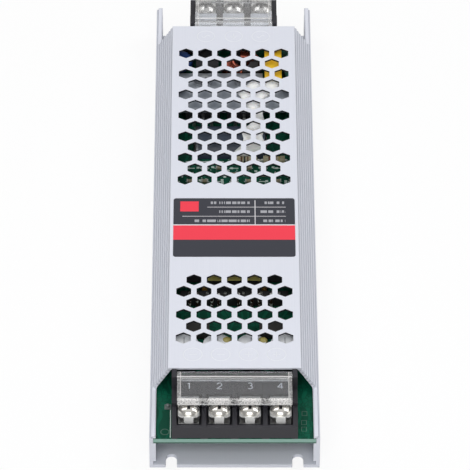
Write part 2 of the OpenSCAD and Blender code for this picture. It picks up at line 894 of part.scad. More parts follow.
module transformer_winding() {
    color([0.72, 0.62, 0.22])
        translate([0, core_y, core_mid_z])
            linear_extrude(winding_h, center = true)
                difference() {
                    winding_outline(0);
                    circle(d = tube_d + 2 * winding_gap);
                }
}

module transformer_bobbin() {
    flange_z = winding_h / 2 + winding_gap;
    color([0.1, 0.1, 0.1])
        translate([0, core_y, core_mid_z])
            difference() {
                union() {
                    for (side = [-1, 1])
                        translate([0, 0, side * (flange_z + bobbin_t / 2)])
                            linear_extrude(bobbin_t, center = true)
                                winding_outline(winding_gap / 2);
                    cylinder(d = tube_d, h = 2 * flange_z + eps, center = true);
                    for (end = [-1, 1]) {
                        translate([0, end * rail_y, board_top - core_mid_z + rail_t / 2])
                            cube([rail_w, rail_t, rail_t], center = true);
                        translate([0, end * (winding_d / 2 + cutout_gap / 2), flange_z + bobbin_t / 2])
                            cube([rail_w / 2, 2 * cutout_gap + rail_t, bobbin_t], center = true);
                    }
                }
                cylinder(d = middle_leg_d + 2 * winding_gap, h = core_h, center = true);
                translate([0, 0, board_top - core_mid_z])
                    rail_pin_places()
                        cylinder(d = rail_pin_d + pin_clearance, h = 2 * (rail_t + over), center = true);
            }
}

module rail_pin_places() {
    for (end = [-1, 1], i = [0:rail_pins - 1])
        translate([(i - (rail_pins - 1) / 2) * rail_w / rail_pins, end * rail_y, 0])
            children();
}

module at_rail_pins() {
    translate([0, core_y, 0])
        rail_pin_places()
            children();
}

module transformer_pins() {
    color("silver")
        translate([0, 0, board_z - solder_pin_l])
            at_rail_pins()
                cylinder(d = rail_pin_d, h = board_t + solder_pin_l + rail_t + pin_stand);
}

// Primary side

module bulk_capacitor() {
    color([0.2, 0.23, 0.28])
        translate([bulk_x, bulk_yy, bulk_z])
            rotate([0, 90, 0])
                difference() {
                    cylinder(d = bulk_d, h = bulk_l, center = true);
                    translate([0, 0, bulk_l / 2 - bead_ring_in])
                        rotate_extrude()
                            translate([bulk_d / 2 + bead_ring_r - bead_ring_depth, 0])
                                circle(bead_ring_r);
                    translate([0, 0, -bulk_l / 2])
                        for (turn = [0, 90])
                            rotate(turn)
                                cube([vent_l, vent_w, 2 * vent_depth], center = true);
                }
}

module sink_leg(y) {
    translate([-sink_cut_x, y - sink_t / 2, board_top])
        cube([2 * sink_cut_x, sink_t, sink_z - board_top + eps]);
}

module primary_heatsink() {
    color("darkgray")
        difference() {
            union() {
                translate([0, sink_mid, sink_z + sink_t / 2])
                    cube([sink_w, sink_l, sink_t], center = true);
                sink_leg(sink_back - sink_t / 2);
            }
            translate([sink_cut_x, sink_back - sink_cut_l, sink_z - over])
                cube([sink_w, sink_cut_l + over, sink_t + 2 * over]);
            translate([0, 0, sink_z - over])
                at_sink_screws()
                    cylinder(d = sink_screw_d + 2 * sink_hole_clearance, h = sink_t + 2 * over);
        }
}

module at_transistors() {
    for (x = transistor_xs)
        translate([x, transistor_y, sink_z])
            children();
}

module at_sink_screws() {
    for (x = transistor_xs)
        translate([x, transistor_y + tab_y, 0])
            children();
}

module at_transistor_leads() {
    for (x = transistor_xs, i = [-1:1])
        translate([x + i * lead_pitch, transistor_y + lead_y, 0])
            children();
}

module switching_transistors() {
    color([0.15, 0.15, 0.16]) {
        at_transistors()
            difference() {
                union() {
                    translate([0, 0, -transistor_h / 2])
                        cube([transistor_w, transistor_l, transistor_h], center = true);
                    translate([0, tab_y - tab_overlap / 2, -tab_t / 2])
                        cube([transistor_w, tab_l + tab_overlap, tab_t], center = true);
                    for (i = [-1:1])
                        translate([i * lead_pitch, lead_y + lead_out / 2, -transistor_h / 2])
                            cube([lead_w, lead_out + lead_t + eps, lead_t], center = true);
                }
                translate([0, tab_y, -tab_t - over])
                    cylinder(d = sink_screw_d + 2 * sink_hole_clearance, h = tab_t + 2 * over);
            }
        lead_z = sink_z - transistor_h / 2 + lead_t / 2;
        translate([0, 0, lead_z])
            at_transistor_leads()
                translate([0, 0, -(lead_z - board_z + solder_pin_l) / 2])
                    cube([lead_w, lead_t, lead_z - board_z + solder_pin_l], center = true);
    }
}

module heatsink_screws() {
    color("silver")
        translate([0, 0, sink_z - tab_t - screw_tip])
            at_sink_screws() {
                cylinder(d = sink_screw_d, h = tab_t + screw_tip + sink_t + eps);
                translate([0, 0, tab_t + screw_tip + sink_t])
                    difference() {
                        cylinder(d = sink_head_d, h = sink_head_h);
                        for (turn = [45, 135])
                            translate([0, 0, sink_head_h])
                                rotate(turn)
                                    cube([sink_screw_d, recess_w, sink_head_h], center = true);
                    }
            }
}

module x_capacitor() {
    color("goldenrod")
        translate([filter_x, filter_y, board_top])
            rounded_plate(filter_w, filter_l, filter_h, corner_r);
}

module choke_ring(low, high, bore, rim) {
    rotate_extrude()
        translate([bore, low])
            square([rim - bore, high - low]);
}

module choke_core() {
    color([0.18, 0.2, 0.18])
        translate([choke_x, choke_y, board_top + choke_base_t + choke_wire])
            choke_ring(0, choke_h, choke_bore / 2, choke_d / 2);
}

module choke_base() {
    color([0.12, 0.12, 0.12])
        translate([choke_x, choke_y, board_top]) {
            rounded_plate(choke_w, choke_d, choke_base_t, choke_r);
            for (end = [-1, 1])
                rotate(winding_turn)
                    translate([0, end * (choke_bore + choke_d) / 4, choke_base_t])
                        cylinder(d = peg_d, h = choke_wire);
        }
}

module winding_arc(start) {
    inner = choke_bore / 2;
    outer = choke_d / 2;
    rotate(start)
        rotate_extrude(angle = winding_angle)
            difference() {
                translate([inner - choke_wire, -choke_wire])
                    square([outer - inner + 2 * choke_wire, choke_h + 2 * choke_wire]);
                translate([inner, 0])
                    square([outer - inner, choke_h]);
            }
}

module choke_windings() {
    color([0.72, 0.38, 0.18])
        translate([choke_x, choke_y, board_top + choke_base_t + choke_wire])
            for (side = [0, 180])
                winding_arc(side + winding_turn - winding_angle / 2);
}

module coated_disc(d, t) {
    bulge = t / 2;
    rotate_extrude()
        intersection() {
            union() {
                square([d / 2 - bulge, t]);
                translate([d / 2 - bulge, bulge])
                    circle(bulge);
            }
            square([d, t]);
        }
}

module varistor() {
    color([0.12, 0.22, 0.45])
        translate([varistor_x, varistor_y, board_top])
            coated_disc(varistor_d, varistor_t);
}

module y_capacitors() {
    color([0.1, 0.45, 0.5])
        for (i = [0, 1])
            translate([disc_x, filter_y + (i + 0.5) * (disc_d + disc_gap), board_top])
                coated_disc(disc_d, disc_t);
}

module bridge_rectifier() {
    color([0.13, 0.13, 0.14])
        translate([bridge_x, choke_y, board_top])
            difference() {
                rounded_plate(bridge_w, bridge_l, bridge_h, corner_r);
                translate([bridge_w / 2, bridge_l / 2, 0])
                    rotate(45)
                        cube([sqrt(2) * bridge_cut, sqrt(2) * bridge_cut, 3 * bridge_h], center = true);
            }
}

module axial_part(d, l, cap_d, cap_l) {
    rotate([0, 90, 0]) {
        cylinder(d = d, h = l, center = true);
        for (end = [-1, 1])
            translate([0, 0, end * (l - cap_l) / 2])
                cylinder(d = cap_d, h = cap_l, center = true);
    }
}

module input_fuse() {
    color([0.2, 0.18, 0.16])
        translate([fuse_x, fuse_y, board_top + fuse_d / 2])
            axial_part(fuse_d - 2 * cap_step, fuse_l, fuse_d, fuse_cap);
}

module power_resistors() {
    color("tan")
        for (i = [0, 1])
            translate([filter_x - i * resistor_pitch, resistor_y, board_top + resistor_d / 2])
                axial_part(resistor_d - 2 * cap_step, resistor_l, resistor_d, resistor_cap);
}

// Output side

module at_cans() {
    for (i = [0:can_count - 1])
        translate([(i - (can_count - 1) / 2) * can_pitch, can_yy, board_top])
            children();
}

module output_capacitor_cans() {
    color("silver")
        at_cans()
            translate([0, 0, can_base_t])
                difference() {
                    cylinder(d = can_d, h = can_h);
                    translate([0, 0, can_ring_z])
                        rotate_extrude()
                            translate([can_d / 2 + can_ring_r - can_ring_depth, 0])
                                circle(can_ring_r);
                }
}

module output_capacitor_bases() {
    half = can_d / 2 + can_base_margin;
    cut = can_base_cut;
    color([0.1, 0.1, 0.1])
        at_cans()
            linear_extrude(can_base_t)
                polygon([
                    [half, half], [-half, half], [-half, cut - half],
                    [cut - half, -half], [half - cut, -half], [half, cut - half]
                ]);
}

module output_rectifiers() {
    lead_y = (rectifier_l + rectifier_lead_l) / 2 - eps;
    color([0.2, 0.2, 0.21])
        for (side = [-1, 1])
            translate([side * rectifier_pitch / 2, rectifier_yy, board_top]) {
                translate([0, 0, rectifier_h / 2])
                    cube([rectifier_w, rectifier_l, rectifier_h], center = true);
                translate([0, (rectifier_l + rectifier_tab_l) / 2 - eps, lead_t / 2])
                    cube([rectifier_tab_w, rectifier_tab_l, lead_t], center = true);
                for (lead = [-1, 1])
                    translate([lead * rectifier_lead_pitch, -lead_y, lead_t / 2])
                        cube([lead_w, rectifier_lead_l, lead_t], center = true);
            }
}

module indicator_led() {
    color("lightgray")
        translate([led_x, led_yy, board_top]) {
            rounded_plate(led_foot_w, led_d + 2 * led_foot_margin, led_foot_h, led_gap);
            rotate_extrude()
                intersection() {
                    union() {
                        square([led_d / 2, led_h - led_d / 2]);
                        translate([0, led_h - led_d / 2])
                            circle(d = led_d);
                    }
                    square([led_d, led_h]);
                }
        }
}

// Small parts

module gull_wing_chip(w, l, leads) {
    translate([0, 0, (ic_h + ic_stand) / 2])
        cube([w, l, ic_h - ic_stand], center = true);
    for (side = [-1, 1], i = [0:leads - 1])
        translate([side * (w + ic_lead) / 2, (i - (leads - 1) / 2) * l / leads, ic_h / 4])
            cube([ic_lead + eps, lead_t, ic_h / 2], center = true);
}

module controller_chip() {
    color([0.12, 0.12, 0.13])
        translate([controller_x, ic_y, board_top])
            gull_wing_chip(controller_w, controller_l, 4);
}

module optocoupler() {
    color([0.14, 0.14, 0.15])
        translate([opto_x, ic_y, board_top])
            gull_wing_chip(opto_w, opto_l, 2);
}

module chip_component() {
    translate([0, 0, chip_h / 2])
        cube([chip_l - chip_cap, chip_w - 2 * chip_waist, chip_h - 2 * chip_waist], center = true);
    for (end = [-1, 1])
        translate([end * (chip_l - chip_cap) / 2, 0, chip_h / 2])
            cube([chip_cap, chip_w, chip_h], center = true);
}

module chip_components() {
    mid_col = (chip_cols - 1) / 2;
    color("tan")
        for (row = [0:chip_rows - 1], col = [0:chip_cols - 1])
            if ((row + col) % 3 != 0)
                translate([(col - mid_col) * chip_pitch_x, chip_y + row * chip_pitch_y, board_top])
                    chip_component();
}

module bead(r) {
    ball = (r * r + bead_h * bead_h) / (2 * bead_h);
    rotate_extrude()
        intersection() {
            translate([0, bead_h - ball])
                circle(ball, $fn = bead_fn);
            square([r, bead_h]);
        }
}

module silicone_adhesive() {
    color("white")
        for (spot = bead_spots)
            translate([spot.x, sink_mid + spot.y, sink_top])
                bead(spot.z * bead_r);
}

housing();
rating_label();
insulation_sheet();
circuit_board();
at_output() terminal_base(output_poles);  // output_terminal_base
at_output() terminal_cover(output_poles);  // output_terminal_cover
at_output() contacts(output_poles);  // output_contacts
at_output() clamp(output_poles, 0);  // output_clamp_1
at_output() clamp(output_poles, 1);  // output_clamp_2
at_output() clamp(output_poles, 2);  // output_clamp_3
at_output() clamp(output_poles, 3);  // output_clamp_4
at_output() terminal_screw(output_poles, 0);  // output_screw_1
at_output() terminal_screw(output_poles, 1);  // output_screw_2
at_output() terminal_screw(output_poles, 2);  // output_screw_3
at_output() terminal_screw(output_poles, 3);  // output_screw_4
at_input() terminal_base(input_poles);  // input_terminal_base
at_input() terminal_cover(input_poles);  // input_terminal_cover
at_input() contacts(input_poles);  // input_contacts
at_input() marker_strips(input_poles);  // input_marker_strips
at_input() clamp(input_poles, 0);  // input_clamp_1
at_input() clamp(input_poles, 1);  // input_clamp_2
at_input() clamp(input_poles, 2);  // input_clamp_3
at_input() terminal_screw(input_poles, 0);  // input_screw_1
at_input() terminal_screw(input_poles, 1);  // input_screw_2
at_input() terminal_screw(input_poles, 2);  // input_screw_3
transformer_core();
transformer_winding();
transformer_bobbin();
transformer_pins();
bulk_capacitor();
primary_heatsink();
switching_transistors();
heatsink_screws();
x_capacitor();
choke_core();
choke_base();
choke_windings();
varistor();
y_capacitors();
bridge_rectifier();
input_fuse();
power_resistors();
output_capacitor_cans();
output_capacitor_bases();
output_rectifiers();
indicator_led();
controller_chip();
optocoupler();
chip_components();
silicone_adhesive();
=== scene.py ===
from functools import reduce
from math import cos, radians, sin, tau
from operator import or_

import bmesh
import bpy
import numpy as np
from mathutils import Matrix, Vector


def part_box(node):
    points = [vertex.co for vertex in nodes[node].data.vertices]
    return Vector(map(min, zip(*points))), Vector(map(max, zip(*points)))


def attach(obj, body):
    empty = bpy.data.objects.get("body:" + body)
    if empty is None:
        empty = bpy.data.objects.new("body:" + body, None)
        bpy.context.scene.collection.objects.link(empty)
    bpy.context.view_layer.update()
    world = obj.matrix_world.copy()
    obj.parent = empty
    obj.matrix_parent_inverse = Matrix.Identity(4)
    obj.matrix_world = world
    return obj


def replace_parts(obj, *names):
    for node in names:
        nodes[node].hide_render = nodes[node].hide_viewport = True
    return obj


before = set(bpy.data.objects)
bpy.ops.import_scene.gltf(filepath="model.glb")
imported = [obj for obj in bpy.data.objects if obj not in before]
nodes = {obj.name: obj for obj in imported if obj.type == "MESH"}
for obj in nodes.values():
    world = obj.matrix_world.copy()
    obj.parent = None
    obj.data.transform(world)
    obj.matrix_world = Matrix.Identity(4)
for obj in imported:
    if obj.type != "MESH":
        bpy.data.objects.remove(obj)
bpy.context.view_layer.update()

# lengths below are in millimetres, and mm takes them to Blender's metres
mm = 0.001
polePitch = 8.25  # between the poles of both terminal blocks
print("frame loaded:", len(nodes), "nodes")


def boxOf(node):
    low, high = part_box(node)
    return np.array(low) / mm, np.array(high) / mm


def addObject(name, data):
    made = bpy.data.objects.new(name, data)
    bpy.context.scene.collection.objects.link(made)
    return made


# Shader tools

def tone(red, green, blue):
    # a colour as seen, 0 to 255, to the linear one that a shader takes
    seen = np.array([red, green, blue]) / 255
    linear = np.where(seen <= 0.04045, seen / 12.92, ((seen + 0.055) / 1.055) ** 2.4)
    return (*linear.tolist(), 1.0)


def shade(colour, share):
    # the same colour with a share of its light
    return (*(part * share for part in colour[:3]), 1.0)


def anyOf(masks):
    # 1 where at least one of the masks is 1
    return reduce(or_, masks)


class Value:
    # one socket, so that shader maths reads as Python
    def __init__(self, finish, socket):
        self.finish, self.socket = finish, socket

    def out(self, name):
        # another output of the same node
        return Value(self.finish, self.socket.node.outputs[name])

    def calc(self, operation, *terms):
        return self.finish.node("ShaderNodeMath", {"operation": operation}, dict(enumerate(terms)))

    def __add__(self, other):
        return self.calc("ADD", self, other)

    def __sub__(self, other):
        return self.calc("SUBTRACT", self, other)

    def __rsub__(self, other):
        return self.calc("SUBTRACT", other, self)

    def __mul__(self, other):
        return self.calc("MULTIPLY", self, other)

    def __mod__(self, other):
        return self.calc("FLOORED_MODULO", self, other)

    def __gt__(self, other):
        return self.calc("GREATER_THAN", self, other)

    def __lt__(self, other):
        return self.calc("LESS_THAN", self, other)

    def __or__(self, other):
        # the larger of the two, so that masks join
        return self.calc("MAXIMUM", self, other)

    def __abs__(self):
        return self.calc("ABSOLUTE", self)

    # these are the same either way round
    __radd__, __rmul__, __ror__ = __add__, __mul__, __or__

    def sine(self):
        return self.calc("SINE", self)

    def root(self):
        return self.calc("SQRT", self)

    def within(self, low, high):
        return (self > low) * (self < high)

    def offNearest(self, pitch, first=0.0):
        # signed distance from the nearest of a row of places that are one pitch apart
        return (self + (pitch / 2 - first)) % pitch - pitch / 2


class Graph:
    # a node tree, with one way to add any node
    def __init__(self, tree):
        self.tree = tree

    def fill(self, socket, value):
        # what another node gives is linked, and a constant is set on the socket itself
        if isinstance(value, Value):
            self.tree.links.new(value.socket, socket)
        else:
            socket.default_value = value

    def node(self, kind, settings=None, sockets=None, output=0):
        made = self.tree.nodes.new(kind)
        for key, value in (settings or {}).items():
            setattr(made, key, value)
        for key, value in (sockets or {}).items():
            self.fill(made.inputs[key], value)
        return Value(self, made.outputs[output])

    def first(self, kind):
        return next(n for n in self.tree.nodes if n.type == kind)


class Finish(Graph):
    # a material with its coordinates at hand, in millimetres
    def __init__(self, name, **constants):
        self.material = bpy.data.materials.new(name)
        self.material.use_nodes = True
        super().__init__(self.material.node_tree)
        self.shader = self.first("BSDF_PRINCIPLED")
        self.feed(**constants)
        here = self.node("ShaderNodeTexCoord", output="Object")
        self.place = self.node("ShaderNodeVectorMath", {"operation": "SCALE"}, {0: here, "Scale": 1 / mm})
        self.x = self.node("ShaderNodeSeparateXYZ", sockets={0: self.place})
        self.y, self.z = self.x.out("Y"), self.x.out("Z")

    def mix(self, share, first, second):
        return self.node("ShaderNodeMix", {"data_type": "RGBA"}, {0: share, 6: first, 7: second}, 2)

    def noise(self, scale, stretch=(1, 1, 1), detail=2.0):
        spot = self.node("ShaderNodeVectorMath", {"operation": "MULTIPLY"}, {0: self.place, 1: stretch})
        return self.node("ShaderNodeTexNoise", sockets={"Vector": spot, "Scale": scale, "Detail": detail})

    def cells(self, scale, feature="F1", distance="EUCLIDEAN"):
        return self.node("ShaderNodeTexVoronoi", {"feature": feature, "distance": distance},
                         {"Vector": self.place, "Scale": scale})

    def upward(self):
        # z of the surface normal: 1 on tops, 0 on walls
        normal = self.node("ShaderNodeNewGeometry", output="Normal")
        return self.node("ShaderNodeSeparateXYZ", sockets={0: normal}).out("Z")

    def box(self, low, high):
        # 1 inside a rectangle of X and Y
        return self.x.within(low[0], high[0]) * self.y.within(low[1], high[1])

    def ring(self, centre, radius, width):
        across, along = self.x - centre[0], self.y - centre[1]
        return abs((across * across + along * along).root() - radius) < width / 2

    def relief(self, height, depth, edge=0.0):
        # height as bump, over edges rounded by a radius
        sockets = {"Strength": 1.0, "Distance": depth * mm, "Height": height}
        if edge:
            sockets["Normal"] = self.rounded(edge)
        return self.node("ShaderNodeBump", sockets=sockets)

    def rounded(self, edge):
        return self.node("ShaderNodeBevel", {"samples": 6}, {"Radius": edge * mm})

    def edges(self, width, level=0.97):
        # 1 along sharp edges, where a rounded normal leaves the flat one
        flat = self.node("ShaderNodeNewGeometry", output="True Normal")
        pair = {0: self.rounded(width), 1: flat}
        return self.node("ShaderNodeVectorMath", {"operation": "DOT_PRODUCT"}, pair, "Value") < level

    def blend(self, share, other):
        # another shader over a share of the surface
        own = Value(self, self.shader.outputs[0])
        both = self.node("ShaderNodeMixShader", sockets={0: share, 1: own, 2: other})
        self.fill(self.first("OUTPUT_MATERIAL").inputs["Surface"], both)

    def feed(self, **sockets):
        # sockets of the shader by name, with underscores for spaces
        for name, value in sockets.items():
            self.fill(self.shader.inputs[name.replace("_", " ")], value)
        return self


# Mesh tools

def gridFaces(rows, cols, closeRows):
    # quads between neighbours of a rows by cols grid that closes round its columns, and its rows where asked
    r = np.arange(rows if closeRows else rows - 1)[:, None]
    c = np.arange(cols)[None, :]
    r2, c2 = (r + 1) % rows, (c + 1) % cols
    corners = r * cols + c, r * cols + c2, r2 * cols + c2, r2 * cols + c
    return np.stack(np.broadcast_arrays(*corners), -1).reshape(-1, 4)


def addPiece(name, grids, finish, closeRows=False):
    # each grid is rows x around x 3 in millimetres and closes round; rows that shrink to a point become poles
    points, faces, start = [], [], 0
    for grid in grids:
        rows, cols = grid.shape[:2]
        points.append(grid.reshape(-1, 3))
        faces.append(gridFaces(rows, cols, closeRows) + start)
        start += rows * cols
    mesh = bpy.data.meshes.new(name)
    mesh.from_pydata((np.concatenate(points) * mm).tolist(), [], np.concatenate(faces).tolist())
    shell = bmesh.new()
    shell.from_mesh(mesh)
    bmesh.ops.remove_doubles(shell, verts=shell.verts, dist=1e-4 * mm)
    bmesh.ops.recalc_face_normals(shell, faces=shell.faces)
    shell.to_mesh(mesh)
    shell.free()
    mesh.polygons.foreach_set("use_smooth", np.ones(len(mesh.polygons), bool))
    piece = addObject(name, mesh)
    mesh.materials.append(finish.material)
    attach(piece, "root")
    return piece


def carry(path, width, height, up=(0, 0, 1), sides=10, closed=False):
    # an ellipse of the given width and height carried along a path: path + cos(a) * side + sin(a) * up
    path = np.asarray(path, float)
    if closed:
        ahead = np.roll(path, -1, 0) - np.roll(path, 1, 0)
    else:
        ahead = np.gradient(path, axis=0)
    ahead /= np.linalg.norm(ahead, axis=1, keepdims=True)
    up = np.broadcast_to(np.asarray(up, float), path.shape)
    side = np.cross(ahead, up)
    side /= np.linalg.norm(side, axis=1, keepdims=True)
    lift = np.cross(side, ahead)
    turn = np.linspace(0, tau, sides, endpoint=False)[:, None]
    wide = np.broadcast_to(width, len(path))[:, None, None] / 2
    high = np.broadcast_to(height, len(path))[:, None, None] / 2
    return path[:, None] + wide * np.cos(turn) * side[:, None] + high * np.sin(turn) * lift[:, None]


def revolve(profile, centre, sides=20):
    # a profile of radius and height turned round an upright axis
    profile = np.asarray(profile, float)
    turn = np.linspace(0, tau, sides, endpoint=False)
    radius = profile[:, :1]
    level = np.broadcast_to(centre[2] + profile[:, 1:], (len(profile), sides))
    return np.stack([centre[0] + radius * np.cos(turn), centre[1] + radius * np.sin(turn), level], -1)


def roundedEnds(count, share):
    # a thickness of 1 that falls to 0 at both ends along a quarter circle, over a share of the length
    t = np.linspace(0, 1, count)
    reach = np.minimum(np.minimum(t, 1 - t) / share, 1)
    return np.sqrt(1 - (1 - reach) ** 2)


def evenPath(corners, count):
    # points at even distances along straight runs between corners
    corners = np.asarray(corners, float)
    lengths = np.concatenate([[0], np.cumsum(np.linalg.norm(np.diff(corners, axis=0), axis=1))])
    at = np.linspace(0, lengths[-1], count)
    return np.stack([np.interp(at, lengths, axis) for axis in corners.T], 1)


def eased(values, count):
    # values at even steps between the given ones, then averaged with their neighbours until corners are gone
    at = np.linspace(0, len(values) - 1, count)
    line = np.interp(at, np.arange(len(values)), values)
    for _ in range(count // 3):
        line[1:-1] = (line[:-2] + 2 * line[1:-1] + line[2:]) / 4
    return line


def easedPath(corners, count):
    return np.stack([eased(axis, count) for axis in zip(*corners)], 1)


def arcPath(centre, radius, start, end, count):
    turn = np.radians(np.linspace(start, end, count))
    return np.stack([centre[0] + radius * np.cos(turn), centre[1] + radius * np.sin(turn)], 1)


def lifted(flat, z):
    return np.column_stack([flat, np.full(len(flat), z)])


# Finishes

housingLook = {
    "colour": tone(226, 228, 237), "dark": tone(214, 217, 227), "rim": tone(242, 243, 248),
    "groove": tone(166, 170, 182), "cut": tone(38, 38, 42),
    "roughness": 0.68, "metal": 0.05, "gloss": 0.15, "rimWidth": 0.18, "edge": 0.1, "relief": 0.012,
    "foot": (23.0, 10.6), "head": (18.0, 18.7), "flutes": 8, "fluteHalf": 0.252,  # a shoulder in X, Z
    "cutDepth": (0.1, 0.75), "grille": 70.0,  # punched walls below the roof's top, and their reach in Y
}


def anodisedAluminium(look):
    # satin metal with die lines along the extrusion; painted shade in the shoulders' flutes and on the
    # punched walls, and a painted highlight along sharp edges
    finish = Finish("anodised_aluminium", Metallic=look["metal"], Specular_IOR_Level=look["gloss"])
    dieLines = finish.noise(3.0, (1, 0.004, 1), 3.0)
    sand = finish.noise(14.0)
    colour = finish.mix(dieLines * 0.5 + sand * 0.15, look["colour"], look["dark"])

    # flutes lie side by side up the slope
    foot, head = np.array(look["foot"]), np.array(look["head"])
    length = float(np.linalg.norm(head - foot))
    way = (head - foot) / length
    along = (abs(finish.x) - foot[0]) * way[0] + (finish.z - foot[1]) * way[1]
    flute = length / look["flutes"]
    bottoms = abs(along.offNearest(flute, flute / 2)) < look["fluteHalf"]
    flutes = bottoms * along.within(0.0, length) * (finish.z > foot[1])
    # painted shade: the flutes' bottoms are coloured darker, where shade falls in them
    colour = finish.mix(flutes * 0.6, colour, look["groove"])
    # painted highlight: a lighter colour along sharp edges stands in for glints on the rounded rims
    colour = finish.mix(finish.edges(look["rimWidth"]) * 0.6, colour, look["rim"])

    roof = boxOf("housing")[1][2]
    shallow, deep = look["cutDepth"]
    # painted shade: punched walls just below the roof's top are coloured dark, as if in shadow
    shadedWalls = (abs(finish.upward()) < 0.3) * finish.z.within(roof - deep, roof - shallow)
    colour = finish.mix(shadedWalls * (abs(finish.y) < look["grille"]), colour, look["cut"])
    return finish.feed(Base_Color=colour, Roughness=look["roughness"] + dieLines * 0.1 - sand * 0.06,
                       Normal=finish.relief(dieLines * 0.6 + sand * 0.4, look["relief"], look["edge"]))


# rules and rows are a Y and a reach in X; the patch is two corners
labelLook = {
    "field": tone(68, 69, 76), "band": tone(250, 74, 90), "line": tone(225, 222, 226),
    "mark": tone(196, 196, 202), "gloss": 0.12, "roughness": 0.5,
    "bandY": (-21.6, -15.4), "bandLine": 0.45, "uprightX": 5.9, "uprightHalf": 0.12, "margin": 0.9,
    "rule": 0.2, "rules": ((-11.4, -14.6, 14.6), (-7.4, -7.6, 14.6)),
    "row": 1.1, "rows": ((-13.4, 8.2, 14.4), (-13.4, -11.5, 4.4), (-9.4, 7.4, 14.4), (-9.4, -5.0, 4.4),
                         (-5.5, 8.6, 14.4), (-5.5, -6.6, 4.4)),
    "patch": ((-15.2, -9.3), (-10.0, -4.9)),
}


def labelPrint(look):
    # fields of colour, thin rules and plain bars where a rating plate has its words
    finish = Finish("label_print", Specular_IOR_Level=look["gloss"])

    def bar(y, left, right, tall):
        return finish.box((left, y - tall / 2), (right, y + tall / 2))

    back, end = look["bandY"][1], boxOf("rating_label")[1][1] - look["margin"]
    upright = (abs(finish.x - look["uprightX"]) < look["uprightHalf"]) * finish.y.within(back, end)
    bandLine = finish.y.within(back, back + look["bandLine"])
    rules = anyOf([bandLine, upright] + [bar(*rule, look["rule"]) for rule in look["rules"]])
    rows = anyOf(bar(*row, look["row"]) for row in look["rows"])
    broken = (finish.noise(1.9, (1, 0.02, 1), 1.0) > 0.47) * rows
    ink = finish.noise(20.0)
    red = finish.y.within(*look["bandY"]) | finish.box(*look["patch"])
    colour = finish.mix(red, look["field"], look["band"])
    colour = finish.mix(broken * 0.75, colour, look["mark"])
    colour = finish.mix(rules, colour, look["line"])
    colour = finish.mix(ink * 0.12, colour, tone(0, 0, 0))
    return finish.feed(Base_Color=colour, Roughness=look["roughness"] + ink * 0.12,
                       Normal=finish.relief(ink, 0.004, 0.05))


# pitches of the chip components, the Y of one row, and the reach of their field in Y
chipGrid = {"x": 4.2, "y": 3.0, "firstY": 0.5, "field": (-1.0, 24.0)}

boardLook = {
    "mask": tone(5, 70, 52), "copper": tone(10, 88, 66), "silk": tone(208, 222, 214),
    "edge": tone(144, 180, 168), "edgeShade": tone(86, 116, 106), "shadedPart": 0.45,
    "gloss": 0.18, "roughness": 0.4, "track": 2.6, "trackHalf": 0.36, "sway": 5.0,
    "lineX": -17.35, "lineHalf": 0.11, "lineY": (-94.0, -82.0),
    "ring": ((-18.8, -91.7), 1.1, 0.28), "faint": 0.12,
    "frames": ((18.7, -90.6), (18.7, -88.0), (18.9, -84.4)), "frameHalves": ((0.75, 0.9), (0.58, 0.73)),
    "ticks": ((0.5, 0.2), (0.8, 0.12)), "dash": (1.3, 1.32),
}


def boardGreen(look, grid):
    # lacquer over copper pours and tracks, with printed lines; sawn edges are pale, with painted shade over
    # their lower part
    finish = Finish("board_green", Specular_IOR_Level=look["gloss"])
    lanes = finish.cells(0.55, "DISTANCE_TO_EDGE", "CHEBYCHEV")
    pours = finish.noise(0.16, detail=1.0) > 0.52
    swayed = finish.x + finish.noise(0.12, detail=0.0) * look["sway"]
    tracks = (abs(swayed.offNearest(look["track"], look["track"] / 2)) < look["trackHalf"]) * (1 - pours)
    copper = pours * (lanes > 0.05) | tracks
    colour = finish.mix(copper, look["mask"], look["copper"])

    # beside the block: one clear line, and a worn ring and plain component frames
    line = (abs(finish.x - look["lineX"]) < look["lineHalf"]) * finish.y.within(*look["lineY"])
    worn = finish.ring(*look["ring"])
    for x, y in look["frames"]:
        outside, inside = (finish.box((x - wide, y - tall), (x + wide, y + tall))
                           for wide, tall in look["frameHalves"])
        worn = worn | outside - inside
    # among the chip components: ticks, and dashes between the rows
    ticks = anyOf(finish.cells(scale, distance="CHEBYCHEV") < size for scale, size in look["ticks"])
    across, along = finish.x.offNearest(grid["x"]), finish.y.offNearest(grid["y"], grid["firstY"])
    dashes = (abs(along) > look["dash"][1]) * (abs(across) < look["dash"][0])
    silk = line | worn * look["faint"] | finish.y.within(*grid["field"]) * (ticks | dashes)

    upward = finish.upward()
    colour = finish.mix(silk * (upward > 0.5), colour, look["silk"])
    # painted shade: the lower part of the sawn edge is coloured darker, as if in shadow
    low = finish.z < boxOf("circuit_board")[0][2] + look["shadedPart"]
    colour = finish.mix(abs(upward) > 0.5, finish.mix(low, look["edge"], look["edgeShade"]), colour)
    weave = finish.noise(5.0)
    return finish.feed(Base_Color=colour, Roughness=look["roughness"] + weave * 0.14,
                       Normal=finish.relief(copper * 0.8 + weave * 0.1, 0.03))


def mouldedPlastic(name, colour, roughness=0.46, edge=0.12, grain=9.0, depth=0.012):
    # spark-eroded mould texture: fine noise in height, faint in colour
    finish = Finish(name)
    spark = finish.noise(grain, detail=3.0)
    flow = finish.noise(0.25)
    return finish.feed(Base_Color=finish.mix(spark * 0.22 + flow * 0.18, colour, shade(colour, 0.72)),
                       Roughness=roughness + spark * 0.14 - flow * 0.05,
                       Normal=finish.relief(spark, depth, edge))


coverLook = {
    "tint": tone(247, 249, 252), "milk": tone(240, 238, 236), "roughness": 0.03, "index": 1.49,
    "lip": 0.9, "frost": 0.08, "glintReach": 3.6, "rib": (9.35, 9.8), "skirt": 0.9, "skirtHighlight": 0.12,
    "half": {"output_terminal_cover": 15.5, "input_terminal_cover": 11.38},
}


